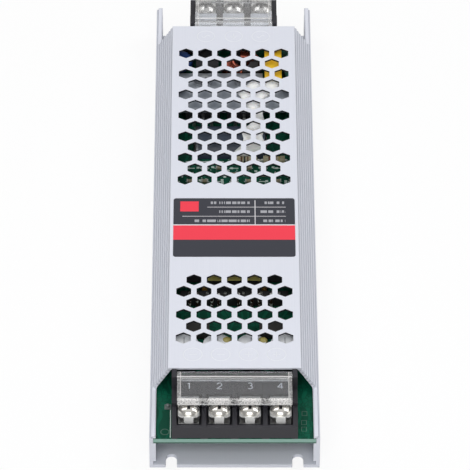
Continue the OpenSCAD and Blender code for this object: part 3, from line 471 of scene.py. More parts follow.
def clearPlastic(look, node, veil):
    # polished panel under a thin veil; the lip is crazed, with painted bright patches over each pole standing
    # in for the screw heads seen through it; skirts and rib are milky, and a milky line on each skirt's inner
    # face is a painted highlight
    finish = Finish("clear_plastic_" + node.split("_")[0], IOR=look["index"], Transmission_Weight=1.0)
    frost = finish.noise(7.0, detail=3.0)
    low, high = boxOf(node)
    lipY, firstPole = (low[1], polePitch / 2) if low[1] < 0 else (high[1], 0.0)  # four poles, or three
    fromLip = abs(finish.y - lipY)
    lip = fromLip < look["lip"]
    across = finish.x.offNearest(polePitch, firstPole)
    # painted highlight: the lip is made milky over each pole, in place of the bright screw heads seen through
    # it
    near = 0.0 | 1 - across * across * look["glintReach"] ** -2
    glintSpeckle = finish.noise(3.4, detail=4.0)
    crackle = finish.cells(1.1, "DISTANCE_TO_EDGE") < 0.08 + frost * 0.1
    crazeAndGlints = lip * (near * (glintSpeckle * 2.2 - 0.45) + crackle * 0.3 + 0.12)
    fromSide = look["half"][node] - abs(finish.x)
    # painted highlight: a narrow milky line along each skirt's inner face stands in for the bright edge
    skirt = (fromSide < look["skirt"]) * 0.2 | (abs(fromSide - look["skirt"]) < look["skirtHighlight"]) * 0.45
    milky = crazeAndGlints | skirt | fromLip.within(*look["rib"]) * 0.7 | veil + frost * 0.02
    finish.blend(milky, finish.node("ShaderNodeBsdfDiffuse", sockets={"Color": look["milk"]}))
    return finish.feed(Base_Color=look["tint"],
                       Roughness=look["roughness"] + lip * (look["frost"] + frost * 0.1))


def hairlines(finish):
    return finish.noise(5.0, (1, 6, 1), 3.0)


def platedSteel(name, colour, roughness, metal=1.0):
    # bright plating with hairline marks
    finish = Finish(name, Metallic=metal)
    hair = hairlines(finish)
    worn = finish.noise(1.3)
    return finish.feed(Base_Color=finish.mix(worn * 0.35, colour, shade(colour, 0.8)),
                       Roughness=roughness + hair * 0.1 + worn * 0.05,
                       Normal=finish.relief(hair, 0.004, 0.08))


screwLook = {
    "colour": tone(212, 208, 201), "worn": tone(146, 143, 139), "recess": tone(60, 60, 62), "roughness": 0.05,
    "y": 88.1, "headHeight": 1.6, "domeRadius": 4.1, "recessRadius": 2.3, "recessSink": 0.1,
    "shank": 1.7, "pitch": 0.7, "threadDepth": 0.12,
}


def screwSteel(look):
    # bright domed heads, with painted shade in the driver recess and in the thread's troughs; on the shanks a
    # wave climbs one pitch for each turn
    finish = Finish("screw_steel", Metallic=1.0)
    shifted = finish.x + (finish.y > 0.0) * (polePitch / 2)  # brings the three poles in line with the four
    across = shifted.offNearest(polePitch, polePitch / 2)
    along = abs(finish.y) - look["y"]
    away = (across * across + along * along).root()
    top = boxOf("output_screw_1")[1][2]
    neck = top - look["headHeight"]
    dome = (look["domeRadius"] ** 2 - away * away).root() + (top - look["domeRadius"])
    recess = (finish.z < dome - look["recessSink"]) * (away < look["recessRadius"]) * (finish.z > neck)
    climb = (finish.z * (tau / look["pitch"]) + along.calc("ARCTAN2", along, across)).sine()
    thread = climb * (away < look["shank"]) * (finish.z < neck)
    hair = hairlines(finish)
    plating = finish.mix(finish.noise(1.3) * 0.5, look["colour"], look["worn"])
    # painted shade: the recess and the thread's troughs take the dark colour
    colour = finish.mix(recess | (thread < -0.3) * 0.7, plating, look["recess"])
    return finish.feed(Base_Color=colour, Roughness=look["roughness"] + hair * 0.08 + recess * 0.3,
                       Normal=finish.relief(thread + hair * 0.03, look["threadDepth"], 0.08))


ferriteLook = {"light": tone(58, 58, 60), "dark": tone(34, 34, 36), "metal": 0.2, "roughness": 0.5}


def ferriteGrey(look):
    # pressed and fired grains, dusty
    finish = Finish("ferrite", Metallic=look["metal"])
    speck = finish.cells(3.2)
    return finish.feed(Base_Color=finish.mix(speck * 0.6, look["light"], look["dark"]),
                       Roughness=look["roughness"] + finish.noise(1.2) * 0.2,
                       Normal=finish.relief(speck, 0.02, 0.15))


windingLook = {"amber": tone(168, 128, 58), "brown": tone(104, 72, 28), "turn": 2.2, "lap": 0.12,
               "roughness": 0.3}


def windingTape(look):
    # amber film wound in overlapping turns
    finish = Finish("winding_tape")
    lap = finish.z % look["turn"] < look["lap"]
    wrinkle = finish.noise(0.9, (1, 1, 3))
    return finish.feed(Base_Color=finish.mix(lap * 0.5 + wrinkle * 0.3, look["amber"], look["brown"]),
                       Roughness=look["roughness"] + wrinkle * 0.15,
                       Normal=finish.relief(wrinkle + lap * 0.6, 0.05))


sleeveLook = {"colour": tone(60, 70, 86), "dark": tone(36, 42, 54), "metal": tone(104, 106, 110), "bare": 0.7,
              "roughness": 0.26}


def capacitorSleeve(look):
    # dark shrink sleeve, drawn tight in ripples, and bare metal at the vent end
    finish = Finish("capacitor_sleeve")
    bare = finish.x < boxOf("bulk_capacitor")[0][0] + look["bare"]
    ripple = finish.noise(0.7, (0.4, 2, 2))
    colour = finish.mix(bare, finish.mix(ripple * 0.6, look["colour"], look["dark"]), look["metal"])
    return finish.feed(Base_Color=colour, Metallic=bare * 0.9, Roughness=look["roughness"] + ripple * 0.14,
                       Normal=finish.relief(ripple, 0.04, 0.3))


rolledLook = {"light": tone(190, 195, 201), "dark": tone(146, 151, 158), "metal": 0.7, "roughness": 0.32}


def rolledAluminium(look):
    # sheet with long rolling marks and slow stains
    finish = Finish("bare_aluminium", Metallic=look["metal"])
    roll = finish.noise(4.0, (1, 0.03, 1), 3.0)
    colour = finish.mix(roll * 0.5 + finish.noise(0.35) * 0.25, look["light"], look["dark"])
    return finish.feed(Base_Color=colour, Roughness=look["roughness"] + roll * 0.14,
                       Normal=finish.relief(roll, 0.02, 0.2))


canLook = {"light": tone(234, 235, 236), "dark": tone(196, 198, 201), "score": tone(92, 94, 98), "count": 4,
           "scoreHalf": 0.14, "scoreReach": 2.6, "metal": 0.4, "roughness": 0.3}


def canAluminium(look):
    # bright drawn cans, each with a crossed score on its lid
    finish = Finish("can_aluminium", Metallic=look["metal"])
    drawn = finish.noise(2.0, (1, 1, 0.2), 3.0)
    low, high = boxOf("output_capacitor_cans")
    wide = high[1] - low[1]
    pitch = (high[0] - low[0] - wide) / (look["count"] - 1)
    across = abs(finish.x.offNearest(pitch, low[0] + wide / 2))
    along = abs(finish.y - (low[1] + high[1]) / 2)
    cross = (across < look["scoreHalf"]) | (along < look["scoreHalf"])
    score = cross * (across < look["scoreReach"]) * (along < look["scoreReach"])
    colour = finish.mix(score * 0.6, finish.mix(drawn * 0.6, look["light"], look["dark"]), look["score"])
    return finish.feed(Base_Color=colour, Roughness=look["roughness"] + drawn * 0.14,
                       Normal=finish.relief(drawn - score, 0.02, 0.2))


epoxyLook = {"black": tone(44, 44, 47), "tin": tone(198, 198, 196), "roughness": 0.5}


def leadedEpoxy(look, name, bodies, colour=epoxyLook["black"]):
    # black moulded bodies; whatever stands outside them is tinned metal
    finish = Finish(name)
    metal = 1 - anyOf(finish.box(low, high) * finish.z.within(low[2], high[2]) for low, high in bodies)
    grain = finish.noise(10.0, detail=3.0)
    epoxy = finish.mix(grain * 0.4, colour, shade(colour, 0.6))
    return finish.feed(Base_Color=finish.mix(metal, epoxy, look["tin"]), Metallic=metal * 0.95,
                       Roughness=look["roughness"] - metal * 0.2 + grain * 0.1,
                       Normal=finish.relief(grain, 0.01, 0.12))


def dipped(name, colour):
    # dipped lacquer: smooth, with slow runs and pinholes
    finish = Finish(name, Coat_Roughness=0.12)
    runs = finish.noise(0.8, (1, 1, 0.5))
    pores = finish.cells(2.4)
    return finish.feed(Base_Color=finish.mix(runs * 0.5, colour, shade(colour, 0.6)),
                       Roughness=0.3 + runs * 0.1, Coat_Weight=0.5 + runs * 0.2,
                       Normal=finish.relief(runs - pores * 0.1, 0.05))


resistorLook = {
    "coat": tone(174, 166, 136), "length": 6.2, "bandHalf": 0.26, "roughness": 0.34,
    "bands": ((1.7, tone(92, 48, 26)), (2.6, tone(24, 22, 22)),
              (3.5, tone(112, 84, 58)), (4.6, tone(170, 158, 96))),
}


def resistorCoat(look):
    # pale lacquer with four colour bands round each of the two bodies
    finish = Finish("resistor_coating")
    low, high = boxOf("power_resistors")
    local = (finish.x - low[0]) % (high[0] - low[0] - look["length"])
    colour = look["coat"]
    for at, band in look["bands"]:
        colour = finish.mix(local.within(at - look["bandHalf"], at + look["bandHalf"]), colour, band)
    gloss = finish.noise(2.0)
    return finish.feed(Base_Color=colour, Roughness=look["roughness"] + gloss * 0.12,
                       Normal=finish.relief(gloss, 0.02, 0.15))


chipLook = {"brown": tone(150, 140, 116), "black": tone(46, 44, 44), "tin": tone(206, 205, 202), "half": 1.0,
            "bodyHalf": 0.62, "roughness": 0.42}


def chipCeramic(look, grid):
    # brown ceramic between tinned ends, with a black body here and there
    finish = Finish("chip_ceramic")
    first = boxOf("chip_components")[0][0] + look["half"]
    ends = abs(finish.x.offNearest(grid["x"], first)) > look["bodyHalf"]
    body = finish.mix(finish.cells(0.24) > 1.4, look["brown"], look["black"])
    speck = finish.noise(9.0)
    return finish.feed(Base_Color=finish.mix(ends, body, look["tin"]), Metallic=ends * 0.9,
                       Roughness=look["roughness"] - ends * 0.1 + speck * 0.1,
                       Normal=finish.relief(speck, 0.01, 0.06))


def softWhite(name, colour, roughness, depth):
    # cured paste or cast resin: a little light passes under an uneven skin
    finish = Finish(name, Subsurface_Weight=0.15, Subsurface_Radius=(0.6 * mm, 0.5 * mm, 0.4 * mm))
    skin = finish.noise(1.6, detail=3.0)
    return finish.feed(Base_Color=finish.mix(skin * 0.3, colour, shade(colour, 0.85)),
                       Roughness=roughness + skin * 0.15, Normal=finish.relief(skin, depth, 0.1))


copperLook = {"bright": tone(196, 104, 78), "burnt": tone(118, 48, 34), "metal": 0.9, "roughness": 0.2}


def enamelledCopper(look):
    # copper under clear enamel, browned in places
    finish = Finish("enamelled_copper", Metallic=look["metal"], Coat_Weight=0.6, Coat_Roughness=0.1)
    burn = finish.noise(0.7)
    return finish.feed(Base_Color=finish.mix(burn * 0.7, look["bright"], look["burnt"]),
                       Roughness=look["roughness"] + burn * 0.12)


leadLook = {"enamel": tone(58, 34, 26), "solder": tone(238, 238, 234), "metal": 0.3, "roughness": 0.34}


def tinnedWire(look):
    # dark enamel with specks of solder
    finish = Finish("tinned_wire", Metallic=look["metal"])
    tinned = finish.noise(0.9) > 0.55
    return finish.feed(Base_Color=finish.mix(tinned, look["enamel"], look["solder"]),
                       Roughness=look["roughness"] - tinned * 0.06)


tapeStrip = {"colour": tone(240, 234, 146), "shade": tone(206, 192, 100), "half": 7.4, "reach": 3.4,
             "black": tone(30, 30, 32), "dark": tone(20, 20, 22), "roughness": 0.5}


def tapedBobbin(look):
    # black moulding, with a strip of olive tape over its flange in front of the core
    finish = Finish("taped_bobbin")
    spark = finish.noise(9.0, detail=3.0)
    wrinkle = finish.noise(0.9, (1, 3, 1))
    front = boxOf("transformer_core")[0][1]
    strip = finish.box((-look["half"], front - look["reach"]), (look["half"], front))
    taped = strip * (finish.upward() > 0.5)
    black = finish.mix(spark * 0.4, look["black"], look["dark"])
    colour = finish.mix(taped, black, finish.mix(wrinkle, look["colour"], look["shade"]))
    return finish.feed(Base_Color=colour, Roughness=look["roughness"] - taped * 0.14 + spark * 0.14,
                       Normal=finish.relief(spark * 0.1 + wrinkle * taped, 0.05, 0.12))


markHighlightLook = {"bright": tone(238, 240, 246), "dull": tone(226, 229, 236), "metal": 0.3, "roughness": 0.36}


def highlightedMarkAluminium(look):
    # raised line, coloured brighter than the roof round it: a painted highlight of the raised relief
    finish = Finish("mark_highlight_aluminium", Metallic=look["metal"])
    mottle = finish.noise(4.0)
    # painted highlight: the marks are lighter than the roof, with a random mottle
    return finish.feed(Base_Color=finish.mix(mottle * 0.4, look["bright"], look["dull"]),
                       Roughness=look["roughness"] + mottle * 0.14)


cardLook = {"white": tone(238, 240, 246), "grey": tone(208, 212, 222), "roughness": 0.5}


def blankCard(look):
    # unprinted card with a faint grain
    finish = Finish("white_card")
    fibre = finish.noise(3.0, (1, 3, 1), 3.0)
    return finish.feed(Base_Color=finish.mix(fibre * 0.25, look["white"], look["grey"]),
                       Roughness=look["roughness"] + fibre * 0.15, Normal=finish.relief(fibre, 0.01, 0.05))


# moulded bodies without their leads; front is from the front of the leads
slack = 0.05  # how far a body's box is taken past its faces
transistorBody = {"half": 5.0, "front": 1.9, "long": 8.95, "tall": 4.4}
rectifierBody = {"half": 3.3, "front": 1.98, "long": 6.1, "tall": 2.3}
chipLeads = 1.0


def bodyBox(node, leads=0.0):
    low, high = boxOf(node)
    reach = np.array([leads, 0, 0])
    return low + reach - slack, high - reach + slack


def pairOfBodies(node, body):
    # one body at each end of the pair
    low, high = boxOf(node)
    front, bottom = low[1] + body["front"], high[2] - body["tall"]
    pair = []
    for x in (low[0] + body["half"], high[0] - body["half"]):
        near = np.array([x - body["half"], front, bottom])
        far = np.array([x + body["half"], front + body["long"], high[2]])
        pair.append((near - slack, far + slack))
    return pair


finishes = {
    "anodised": anodisedAluminium(housingLook),
    "label": labelPrint(labelLook),
    "film": mouldedPlastic("insulation_film", tone(216, 214, 204), 0.3, 0.02, 1.5, 0.03),
    "board": boardGreen(boardLook, chipGrid),
    "terminal": mouldedPlastic("terminal_plastic", tone(40, 39, 45), 0.48, 0.14),
    "clear": clearPlastic(coverLook, "output_terminal_cover", 0.04),
    "window": clearPlastic(coverLook, "input_terminal_cover", 0.12),
    "plated": screwSteel(screwLook),
    "satin": platedSteel("satin_plating", tone(228, 228, 226), 0.26),
    "solder": platedSteel("bright_solder", tone(238, 238, 234), 0.3, metal=0.3),
    "dull": platedSteel("dull_plating", tone(176, 178, 181), 0.42),
    "tinned": platedSteel("tinned_metal", tone(206, 206, 203), 0.26),
    "ferrite": ferriteGrey(ferriteLook),
    "tape": windingTape(windingLook),
    "black": mouldedPlastic("black_plastic", tone(30, 30, 32), 0.5),
    "taped": tapedBobbin(tapeStrip),
    "sleeve": capacitorSleeve(sleeveLook),
    "rolled": rolledAluminium(rolledLook),
    "can": canAluminium(canLook),
    "markHighlight": highlightedMarkAluminium(markHighlightLook),
    "yellow": mouldedPlastic("yellow_plastic", tone(252, 206, 54), 0.3, 0.3, 5.0),
    "copper": enamelledCopper(copperLook),
    "wire": tinnedWire(leadLook),
    "blue": dipped("blue_coating", tone(62, 104, 188)),
    "teal": dipped("teal_coating", tone(120, 204, 200)),
    "fuse": mouldedPlastic("fuse_body", tone(58, 52, 48), 0.3, 0.2),
    "resistor": resistorCoat(resistorLook),
    "lamp": softWhite("clear_lamp", tone(104, 114, 112), 0.3, 0.01),
    "chip": chipCeramic(chipLook, chipGrid),
    "silicone": softWhite("white_silicone", tone(246, 246, 244), 0.4, 0.08),
    "glue": softWhite("olive_glue", tone(150, 140, 78), 0.36, 0.08),
    "card": blankCard(cardLook),
    "transistor": leadedEpoxy(epoxyLook, "transistor_epoxy",
                              pairOfBodies("switching_transistors", transistorBody)),
    "rectifier": leadedEpoxy(epoxyLook, "rectifier_epoxy", pairOfBodies("output_rectifiers", rectifierBody),
                             tone(52, 50, 48)),
    "bridge": leadedEpoxy(epoxyLook, "bridge_epoxy", [bodyBox("bridge_rectifier")]),
    "controller": leadedEpoxy(epoxyLook, "controller_epoxy", [bodyBox("controller_chip", chipLeads)]),
    "opto": leadedEpoxy(epoxyLook, "optocoupler_epoxy", [bodyBox("optocoupler", chipLeads)]),
}

nodeFinish = {
    "housing": "anodised", "rating_label": "label", "insulation_sheet": "film", "circuit_board": "board",
    "output_terminal_base": "terminal", "input_terminal_base": "terminal",
    "output_terminal_cover": "clear", "input_terminal_cover": "window",
    "output_contacts": "satin", "input_contacts": "satin", "input_marker_strips": "card",
    "transformer_core": "ferrite", "transformer_winding": "tape", "transformer_bobbin": "taped",
    "transformer_pins": "tinned", "bulk_capacitor": "sleeve", "primary_heatsink": "rolled",
    "switching_transistors": "transistor", "heatsink_screws": "dull", "x_capacitor": "yellow",
    "choke_core": "ferrite", "choke_base": "black", "choke_windings": "copper", "varistor": "blue",
    "y_capacitors": "teal", "bridge_rectifier": "bridge", "input_fuse": "fuse", "power_resistors": "resistor",
    "output_capacitor_cans": "can", "output_capacitor_bases": "black", "output_rectifiers": "rectifier",
    "indicator_led": "lamp", "controller_chip": "controller", "optocoupler": "opto",
    "chip_components": "chip", "silicone_adhesive": "silicone",
}
for name, node in nodes.items():
    # what isn't in the table is clamps and screws
    chosen = nodeFinish.get(name, "satin" if "clamp" in name else "plated")
    node.data.materials.clear()
    node.data.materials.append(finishes[chosen].material)
print("finishes on the frame:", len(finishes))


# Marks on the roof

roofMark = {
    "radius": 2.55, "line": 0.3, "height": 0.05, "sink": 0.01, "ringPoints": 64, "points": 25, "round": 0.12,
    "frontY": -69.6, "frontX": (-11.4, -3.8, 3.8, 11.4), "backY": 71.4, "backX": (-8.2, 0.0, 8.0),
    "half": 1.1, "wave": (1.2, 0.5),
    "stem": (1.4, 0.1), "bars": ((0.1, 1.2), (-0.5, 0.75), (-1.1, 0.3)),  # earth: bars' heights, half widths
}


def roofMarks(mark):
    # a ring of raised line, an ellipse carried round a circle, with a plain sign inside it
    top = boxOf("housing")[1][2] - mark["sink"]
    thick = roundedEnds(mark["points"], mark["round"])
    front = [(x, mark["frontY"]) for x in mark["frontX"]]
    back = [(x, mark["backY"]) for x in mark["backX"]]
    rings, signs = [], []
    for spot in front + back:
        circle = arcPath(spot, mark["radius"], 0, 360, mark["ringPoints"] + 1)[:-1]
        rings.append(carry(lifted(circle, top), mark["line"], mark["height"], closed=True))

    def draw(flat):
        signs.append(carry(lifted(flat, top), thick * mark["line"], thick * mark["height"]))

    def stroke(*corners):
        draw(evenPath(corners, mark["points"]))

    for k, (x, y) in enumerate(front):
        stroke((x - mark["half"], y), (x + mark["half"], y))
        if k > 1:  # two minus signs, then two plus signs
            stroke((x, y - mark["half"]), (x, y + mark["half"]))
    for k, (x, y) in enumerate(back):
        if k == 1:  # earth between two alternating current signs
            stroke(*((x, y + level) for level in mark["stem"]))
            for level, half in mark["bars"]:
                stroke((x - half, y + level), (x + half, y + level))
        else:
            t = np.linspace(-1, 1, mark["points"])
            draw(np.column_stack([x + mark["wave"][0] * t, y + mark["wave"][1] * np.sin(np.pi * t)]))
    addPiece("roof_rings", rings, finishes["markHighlight"], closeRows=True)
    addPiece("roof_signs", signs, finishes["markHighlight"])


roofMarks(roofMark)
print("roof marks done")


# Numbers on the shelf of the output block

poleNumber = {"height": 2.3, "line": 0.3, "raise": 0.06, "y": -80.9, "round": 0.06,
              "drop": 2.9}  # from the block's top down to its shelf


def numberPaths():
    # each number as one run of points in a box 1 high and about 0.6 wide
    one = evenPath([(-0.16, 0.32), (0.06, 0.5), (0.06, -0.5)], 30)
    two = np.concatenate([arcPath((0, 0.22), 0.28, 170, -40, 20), evenPath([(-0.3, -0.5), (0.32, -0.5)], 12)])
    three = np.concatenate([arcPath((0, 0.25), 0.25, 150, -80, 18), arcPath((0, -0.22), 0.28, 80, -150, 20)])
    four = evenPath([(0.14, -0.5), (0.14, 0.5), (-0.32, -0.2), (0.36, -0.2)], 40)
    return one, two, three, four


def poleNumbers(look):
    # a flat ellipse carried along each number, half sunk in the shelf
    shelf = boxOf("output_terminal_base")[1][2] - look["drop"]
    paths = numberPaths()
    grids = []
    for k, flat in enumerate(paths):
        centre = ((k - (len(paths) - 1) / 2) * polePitch, look["y"])
        thick = roundedEnds(len(flat), look["round"])
        path = lifted(flat * look["height"] + centre, shelf)
        grids.append(carry(path, thick * look["line"], thick * look["raise"] * 2, sides=8))
    addPiece("pole_numbers", grids, finishes["card"])


poleNumbers(poleNumber)
print("pole numbers done")


# Turns of wire on the choke

chokeWire = {"wire": 0.86, "turns": 8, "arc": 92.0, "turn": -128.0, "points": 26, "bore": 2.5, "square": 0.45,
             "round": 0.004}


def chokeTurns(look):
    # each coil is a helix round the ring: a squared loop in radius and height, stepped round the core's axis
    low, high = boxOf("choke_core")
    centre = (low + high) / 2
    half = look["wire"] / 2
    inner, outer = look["bore"] - half, (high[0] - low[0]) / 2 + half
    tall = (high[2] - low[2]) / 2 + half

    def squared(wave):
        return np.sign(wave) * np.abs(wave) ** look["square"]

    loop = np.linspace(0, tau * look["turns"], look["turns"] * look["points"])
    radius = (inner + outer) / 2 + (outer - inner) / 2 * squared(np.cos(loop))
    height = tall * squared(np.sin(loop))
    coils = []
    for side in (0, 180):
        start = radians(look["turn"] + side - look["arc"] / 2)
        angle = start + radians(look["arc"]) * loop / loop[-1]
        x, y = centre[0] + radius * np.cos(angle), centre[1] + radius * np.sin(angle)
        up = np.stack([-np.sin(angle), np.cos(angle), np.zeros_like(angle)], 1)
        thick = roundedEnds(len(loop), look["round"]) * look["wire"]
        coils.append(carry(np.stack([x, y, centre[2] + height], 1), thick, thick, up=up, sides=8))
    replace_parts(addPiece("choke_turns", coils, finishes["copper"]), "choke_windings")


chokeTurns(chokeWire)
print("choke turns done")


# Solder round the pins under the board

solderLook = {"radius": 1.15, "tip": 0.55, "height": 1.25, "point": 0.3, "poles": (4, 3), "poleIn": 0.7,
              "railPins": 6, "railIn": 0.4, "points": 9}


def solderJoints(look):
    # a fillet turned round each pin: its radius falls from the pad to the pin as a quarter of a hollow curve
    under = boxOf("circuit_board")[0][2]
    t = np.linspace(0, 1, look["points"])
    radius = look["tip"] + (look["radius"] - look["tip"]) * (1 - np.sqrt(1 - (1 - t) ** 2))
    fillet = np.column_stack([radius, -look["height"] * t])
    profile = np.concatenate([[(0.0, 0.0)], fillet, [(0.0, -look["height"] - look["point"])]])
    # the terminals' pins are close to the inner ends of the contacts
    rows = boxOf("output_contacts")[1][1] - look["poleIn"], boxOf("input_contacts")[0][1] + look["poleIn"]
    spots = [((k - (count - 1) / 2) * polePitch, y)
             for count, y in zip(look["poles"], rows) for k in range(count)]
    low, high = boxOf("transformer_pins")
    low, high = low + look["railIn"], high - look["railIn"]
    spots += [(x, y) for y in (low[1], high[1]) for x in np.linspace(low[0], high[0], look["railPins"])]
    joints = [revolve(profile, (x, y, under)) for x, y in spots]
    addPiece("solder_joints", joints, finishes["tinned"])


solderJoints(solderLook)
print("solder done")


# Silicone run out over the heat sink and the bulk capacitor

siliconeTrail = {
    "path": ((13.4, 51.0, 16.7), (11.2, 50.8, 16.8), (8.0, 50.6, 16.9), (5.6, 48.4, 16.9), (5.4, 44.6, 16.85),
             (5.4, 42.4, 16.8), (5.8, 40.0, 16.8), (6.8, 38.2, 16.3), (7.2, 36.4, 15.6), (6.4, 34.0, 15.1),
             (5.6, 31.5, 15.0), (4.9, 29.2, 14.5), (3.8, 27.0, 13.2), (3.5, 25.7, 11.9), (3.4, 24.8, 10.9)),
    "width": (3.4, 5.2, 7.4, 9.0, 8.0, 5.8, 4.2, 3.6, 3.4, 3.6, 5.6, 8.8, 9.6, 9.0, 6.0),
    "height": (0.8, 1.1, 1.4, 1.3, 1.2, 1.1, 1.0, 1.1, 1.2, 1.0, 0.9, 0.9, 1.0, 1.0, 0.7),
    "count": 120, "round": 0.05, "lump": 0.1, "lumps": 9,
}


def siliconeRun(look):
    # an ellipse carried along the run; its width and height change on the way and fall to nothing at the ends
    count = look["count"]
    ends = roundedEnds(count, look["round"])
    lumps = 1 + look["lump"] * np.sin(np.linspace(0, look["lumps"] * tau, count))
    width, height = eased(look["width"], count) * ends * lumps, eased(look["height"], count) * ends
    run = carry(easedPath(look["path"], count), width, height, sides=20)
    addPiece("silicone_run", [run], finishes["silicone"])


siliconeRun(siliconeTrail)
print("silicone run done")


# Glue between the output cans

glueLook = {"radius": 1.35, "height": 0.75, "sink": 0.35, "points": 13,
            "spots": ((-9.3, -64.4), (-2.0, -61.6), (7.7, -61.7))}


def glueDrops(look):
    # half an ellipse turned round an upright axis, sunk between two lids
    t = np.linspace(0, np.pi, look["points"])
    profile = np.column_stack([look["radius"] * np.sin(t), -look["height"] * np.cos(t)])
    top = boxOf("output_capacitor_cans")[1][2] - look["sink"]
    drops = [revolve(profile, (x, y, top)) for x, y in look["spots"]]
    addPiece("glue_drops", drops, finishes["glue"])


glueDrops(glueLook)
print("glue done")


# Leads of the fuse and the power resistors

axialLead = {"wire": 0.6, "out": 0.75, "bend": 0.35, "hold": 0.1, "sink": 0.2,
             "gap": 1.8}  # between the two resistors


def bentLead(start, out, down, bend, points=9):
    # straight out along X, a quarter circle of the bend's radius, and straight down
    sign = np.sign(out)
    turn = np.linspace(0, np.pi / 2, points)
    x = start[0] + out - sign * bend + sign * bend * np.sin(turn)
    z = start[2] - bend + bend * np.cos(turn)
    quarter = np.column_stack([x, np.full(points, start[1]), z])
    return np.concatenate([[start], quarter, [(start[0] + out, start[1], down)]])


def roundWire(path, size, beyond=1e-3):
    # a circle carried along a path, closed to a point just beyond each end
    points = np.concatenate([path[:1], path, path[-1:]])
    points[0] -= beyond * (path[1] - path[0])
    points[-1] += beyond * (path[-1] - path[-2])
    thick = np.concatenate([[0.0], np.full(len(path), size), [0.0]])
    return carry(points, thick, thick, up=(0, 1, 0), sides=12)


def axialLeads(look):
    # one bent wire from each end of each body down into the board
    down = boxOf("circuit_board")[1][2] - look["sink"]
    low, high = boxOf("power_resistors")
    length = (high[0] - low[0] - look["gap"]) / 2
    bodies = [boxOf("input_fuse")]
    for left in (low[0], high[0] - length):
        bodies.append((np.array([left, *low[1:]]), np.array([left + length, *high[1:]])))
    wires = []
    for low, high in bodies:
        _, y, z = (low + high) / 2
        for side, x in ((-1, low[0]), (1, high[0])):
            path = bentLead((x - side * look["hold"], y, z), side * look["out"], down, look["bend"])
            wires.append(roundWire(path, look["wire"]))
    addPiece("axial_leads", wires, finishes["solder"])


axialLeads(axialLead)
print("axial leads done")


# The transformer's output leads over its rail

railLead = {"wire": 0.8, "x": (-12.4, -10.3, -6.2, -4.3, 1.2, 4.9, 6.9, 10.2), "pinIn": 0.4, "rise": 0.3,
            "shoulder": 0.45, "out": 0.5, "sink": 0.2, "points": 28, "round": 0.04}


def transformerLeads(look):
    # a circle carried from each pin over the edge of the rail and down into the board, its corners eased
    down = boxOf("circuit_board")[1][2] - look["sink"]
    pins = boxOf("transformer_pins")[0][1] + look["pinIn"]
    low, high = boxOf("transformer_bobbin")
    front, top = low[1], high[2]
    thick = roundedEnds(look["points"], look["round"]) * look["wire"]
    wires = []
    for x in look["x"]:
        corners = [(x, pins, top + look["rise"]), (x, front, top + look["rise"]),
                   (x, front - look["shoulder"], top - look["rise"]), (x, front - look["out"], down)]
        wires.append(carry(easedPath(corners, look["points"]), thick, thick, up=(1, 0, 0), sides=12))
    addPiece("transformer_leads", wires, finishes["wire"])


transformerLeads(railLead)
print("transformer leads done")


# Camera, light and floor

# focal length and frame in pixels, angles in degrees, and what is clipped in metres
cameraLook = {"focal": 4500.0, "frame": 470.0, "sensor": 36.0, "down": 40.32, "yaw": 0.21, "roll": 0.14,
              "target": (0.22, -19.4, 18.7), "distance": 1261.8, "clip": (0.01, 50.0)}


def photoCamera(look):
    down, yaw, roll = radians(look["down"]), radians(look["yaw"]), radians(look["roll"])
    ahead = Vector((sin(yaw) * cos(down), cos(yaw) * cos(down), -sin(down)))
    right = Vector((cos(yaw), -sin(yaw), 0))
    up = right.cross(ahead)
    right, up = cos(roll) * right + sin(roll) * up, -sin(roll) * right + cos(roll) * up
    lens = bpy.data.cameras.new("camera")
    lens.sensor_fit = "HORIZONTAL"
    lens.sensor_width = look["sensor"]
    lens.lens = look["sensor"] * look["focal"] / look["frame"]
    lens.clip_start, lens.clip_end = look["clip"]
    camera = addObject("camera", lens)
    spot = (Vector(look["target"]) - look["distance"] * ahead) * mm
    camera.matrix_world = Matrix.Translation(spot) @ Matrix((right, up, -ahead)).transposed().to_4x4()
    bpy.context.scene.camera = camera


# in metres and watts
lampLook = {
    "key": {"at": (-0.9, 0.3, 1.5), "size": 1.0, "power": 7.5},
    "fill": {"at": (1.1, 0.2, 1.3), "size": 1.0, "power": 8.8},
    "front": {"at": (-0.1, -1.2, 0.95), "size": 1.1, "power": 12.5},
}


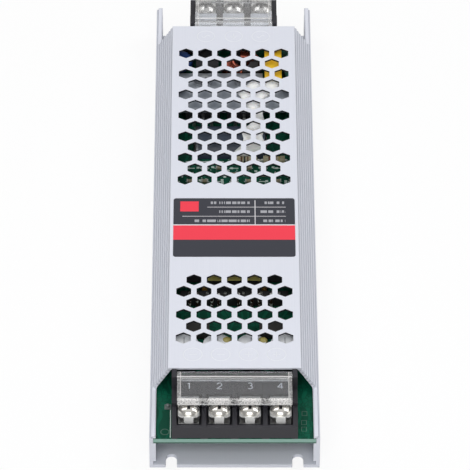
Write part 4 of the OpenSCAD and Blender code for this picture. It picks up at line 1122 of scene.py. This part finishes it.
def softLamps(look):
    # square lamps that face the object
    for name, lamp in look.items():
        data = bpy.data.lights.new(name, "AREA")
        data.shape, data.size, data.energy = "SQUARE", lamp["size"], lamp["power"]
        soft = addObject(name, data)
        at = Vector(lamp["at"])
        soft.matrix_world = Matrix.Translation(at) @ (-at).to_track_quat("-Z", "Y").to_matrix().to_4x4()


def seenDirectly(graph):
    # 1 for what the camera, a mirror or clear plastic shows, 0 for what lights the object
    rays = graph.node("ShaderNodeLightPath")
    return rays | rays.out("Is Glossy Ray") | rays.out("Is Transmission Ray")


worldLook = {"light": 0.6, "horizon": 0.12, "tint": (0.97, 0.985, 1.0, 1.0)}


def paleSurroundings(look):
    # white to the camera; what lights the object or shows in metal is brighter overhead than at the horizon
    world = bpy.data.worlds.new("surroundings")
    bpy.context.scene.world = world
    world.use_nodes = True
    graph = Graph(world.node_tree)
    sky = graph.first("BACKGROUND")
    graph.fill(sky.inputs["Color"], look["tint"])
    up = graph.node("ShaderNodeSeparateXYZ", sockets={0: graph.node("ShaderNodeTexCoord")}).out("Z")
    dome = look["horizon"] + (1 - look["horizon"]) * up * up
    level = look["light"] + (1 - look["light"]) * seenDirectly(graph)
    graph.fill(sky.inputs["Strength"], level * (graph.node("ShaderNodeLightPath") | dome))


floorLook = {"grey": (0.62, 0.62, 0.62, 1.0), "roughness": 0.9, "glow": 1.08, "share": 0.8, "half": 6.0}


def paleFloor(look):
    # one flat square, mostly white where it is seen, that keeps the object's shadow
    finish = Finish("floor", Base_Color=look["grey"], Roughness=look["roughness"])
    glow = finish.node("ShaderNodeEmission", sockets={"Color": tone(255, 255, 255), "Strength": look["glow"]})
    finish.blend(seenDirectly(finish) * look["share"], glow)
    half = look["half"]
    corners = [(-half, -half, 0), (half, -half, 0), (half, half, 0), (-half, half, 0)]
    mesh = bpy.data.meshes.new("floor")
    mesh.from_pydata(corners, [], [(0, 1, 2, 3)])
    mesh.materials.append(finish.material)
    floor = addObject("floor", mesh)


photoCamera(cameraLook)
softLamps(lampLook)
paleSurroundings(worldLook)
paleFloor(floorLook)
bpy.context.scene.view_settings.view_transform = "Standard"
print("camera, light and floor set")
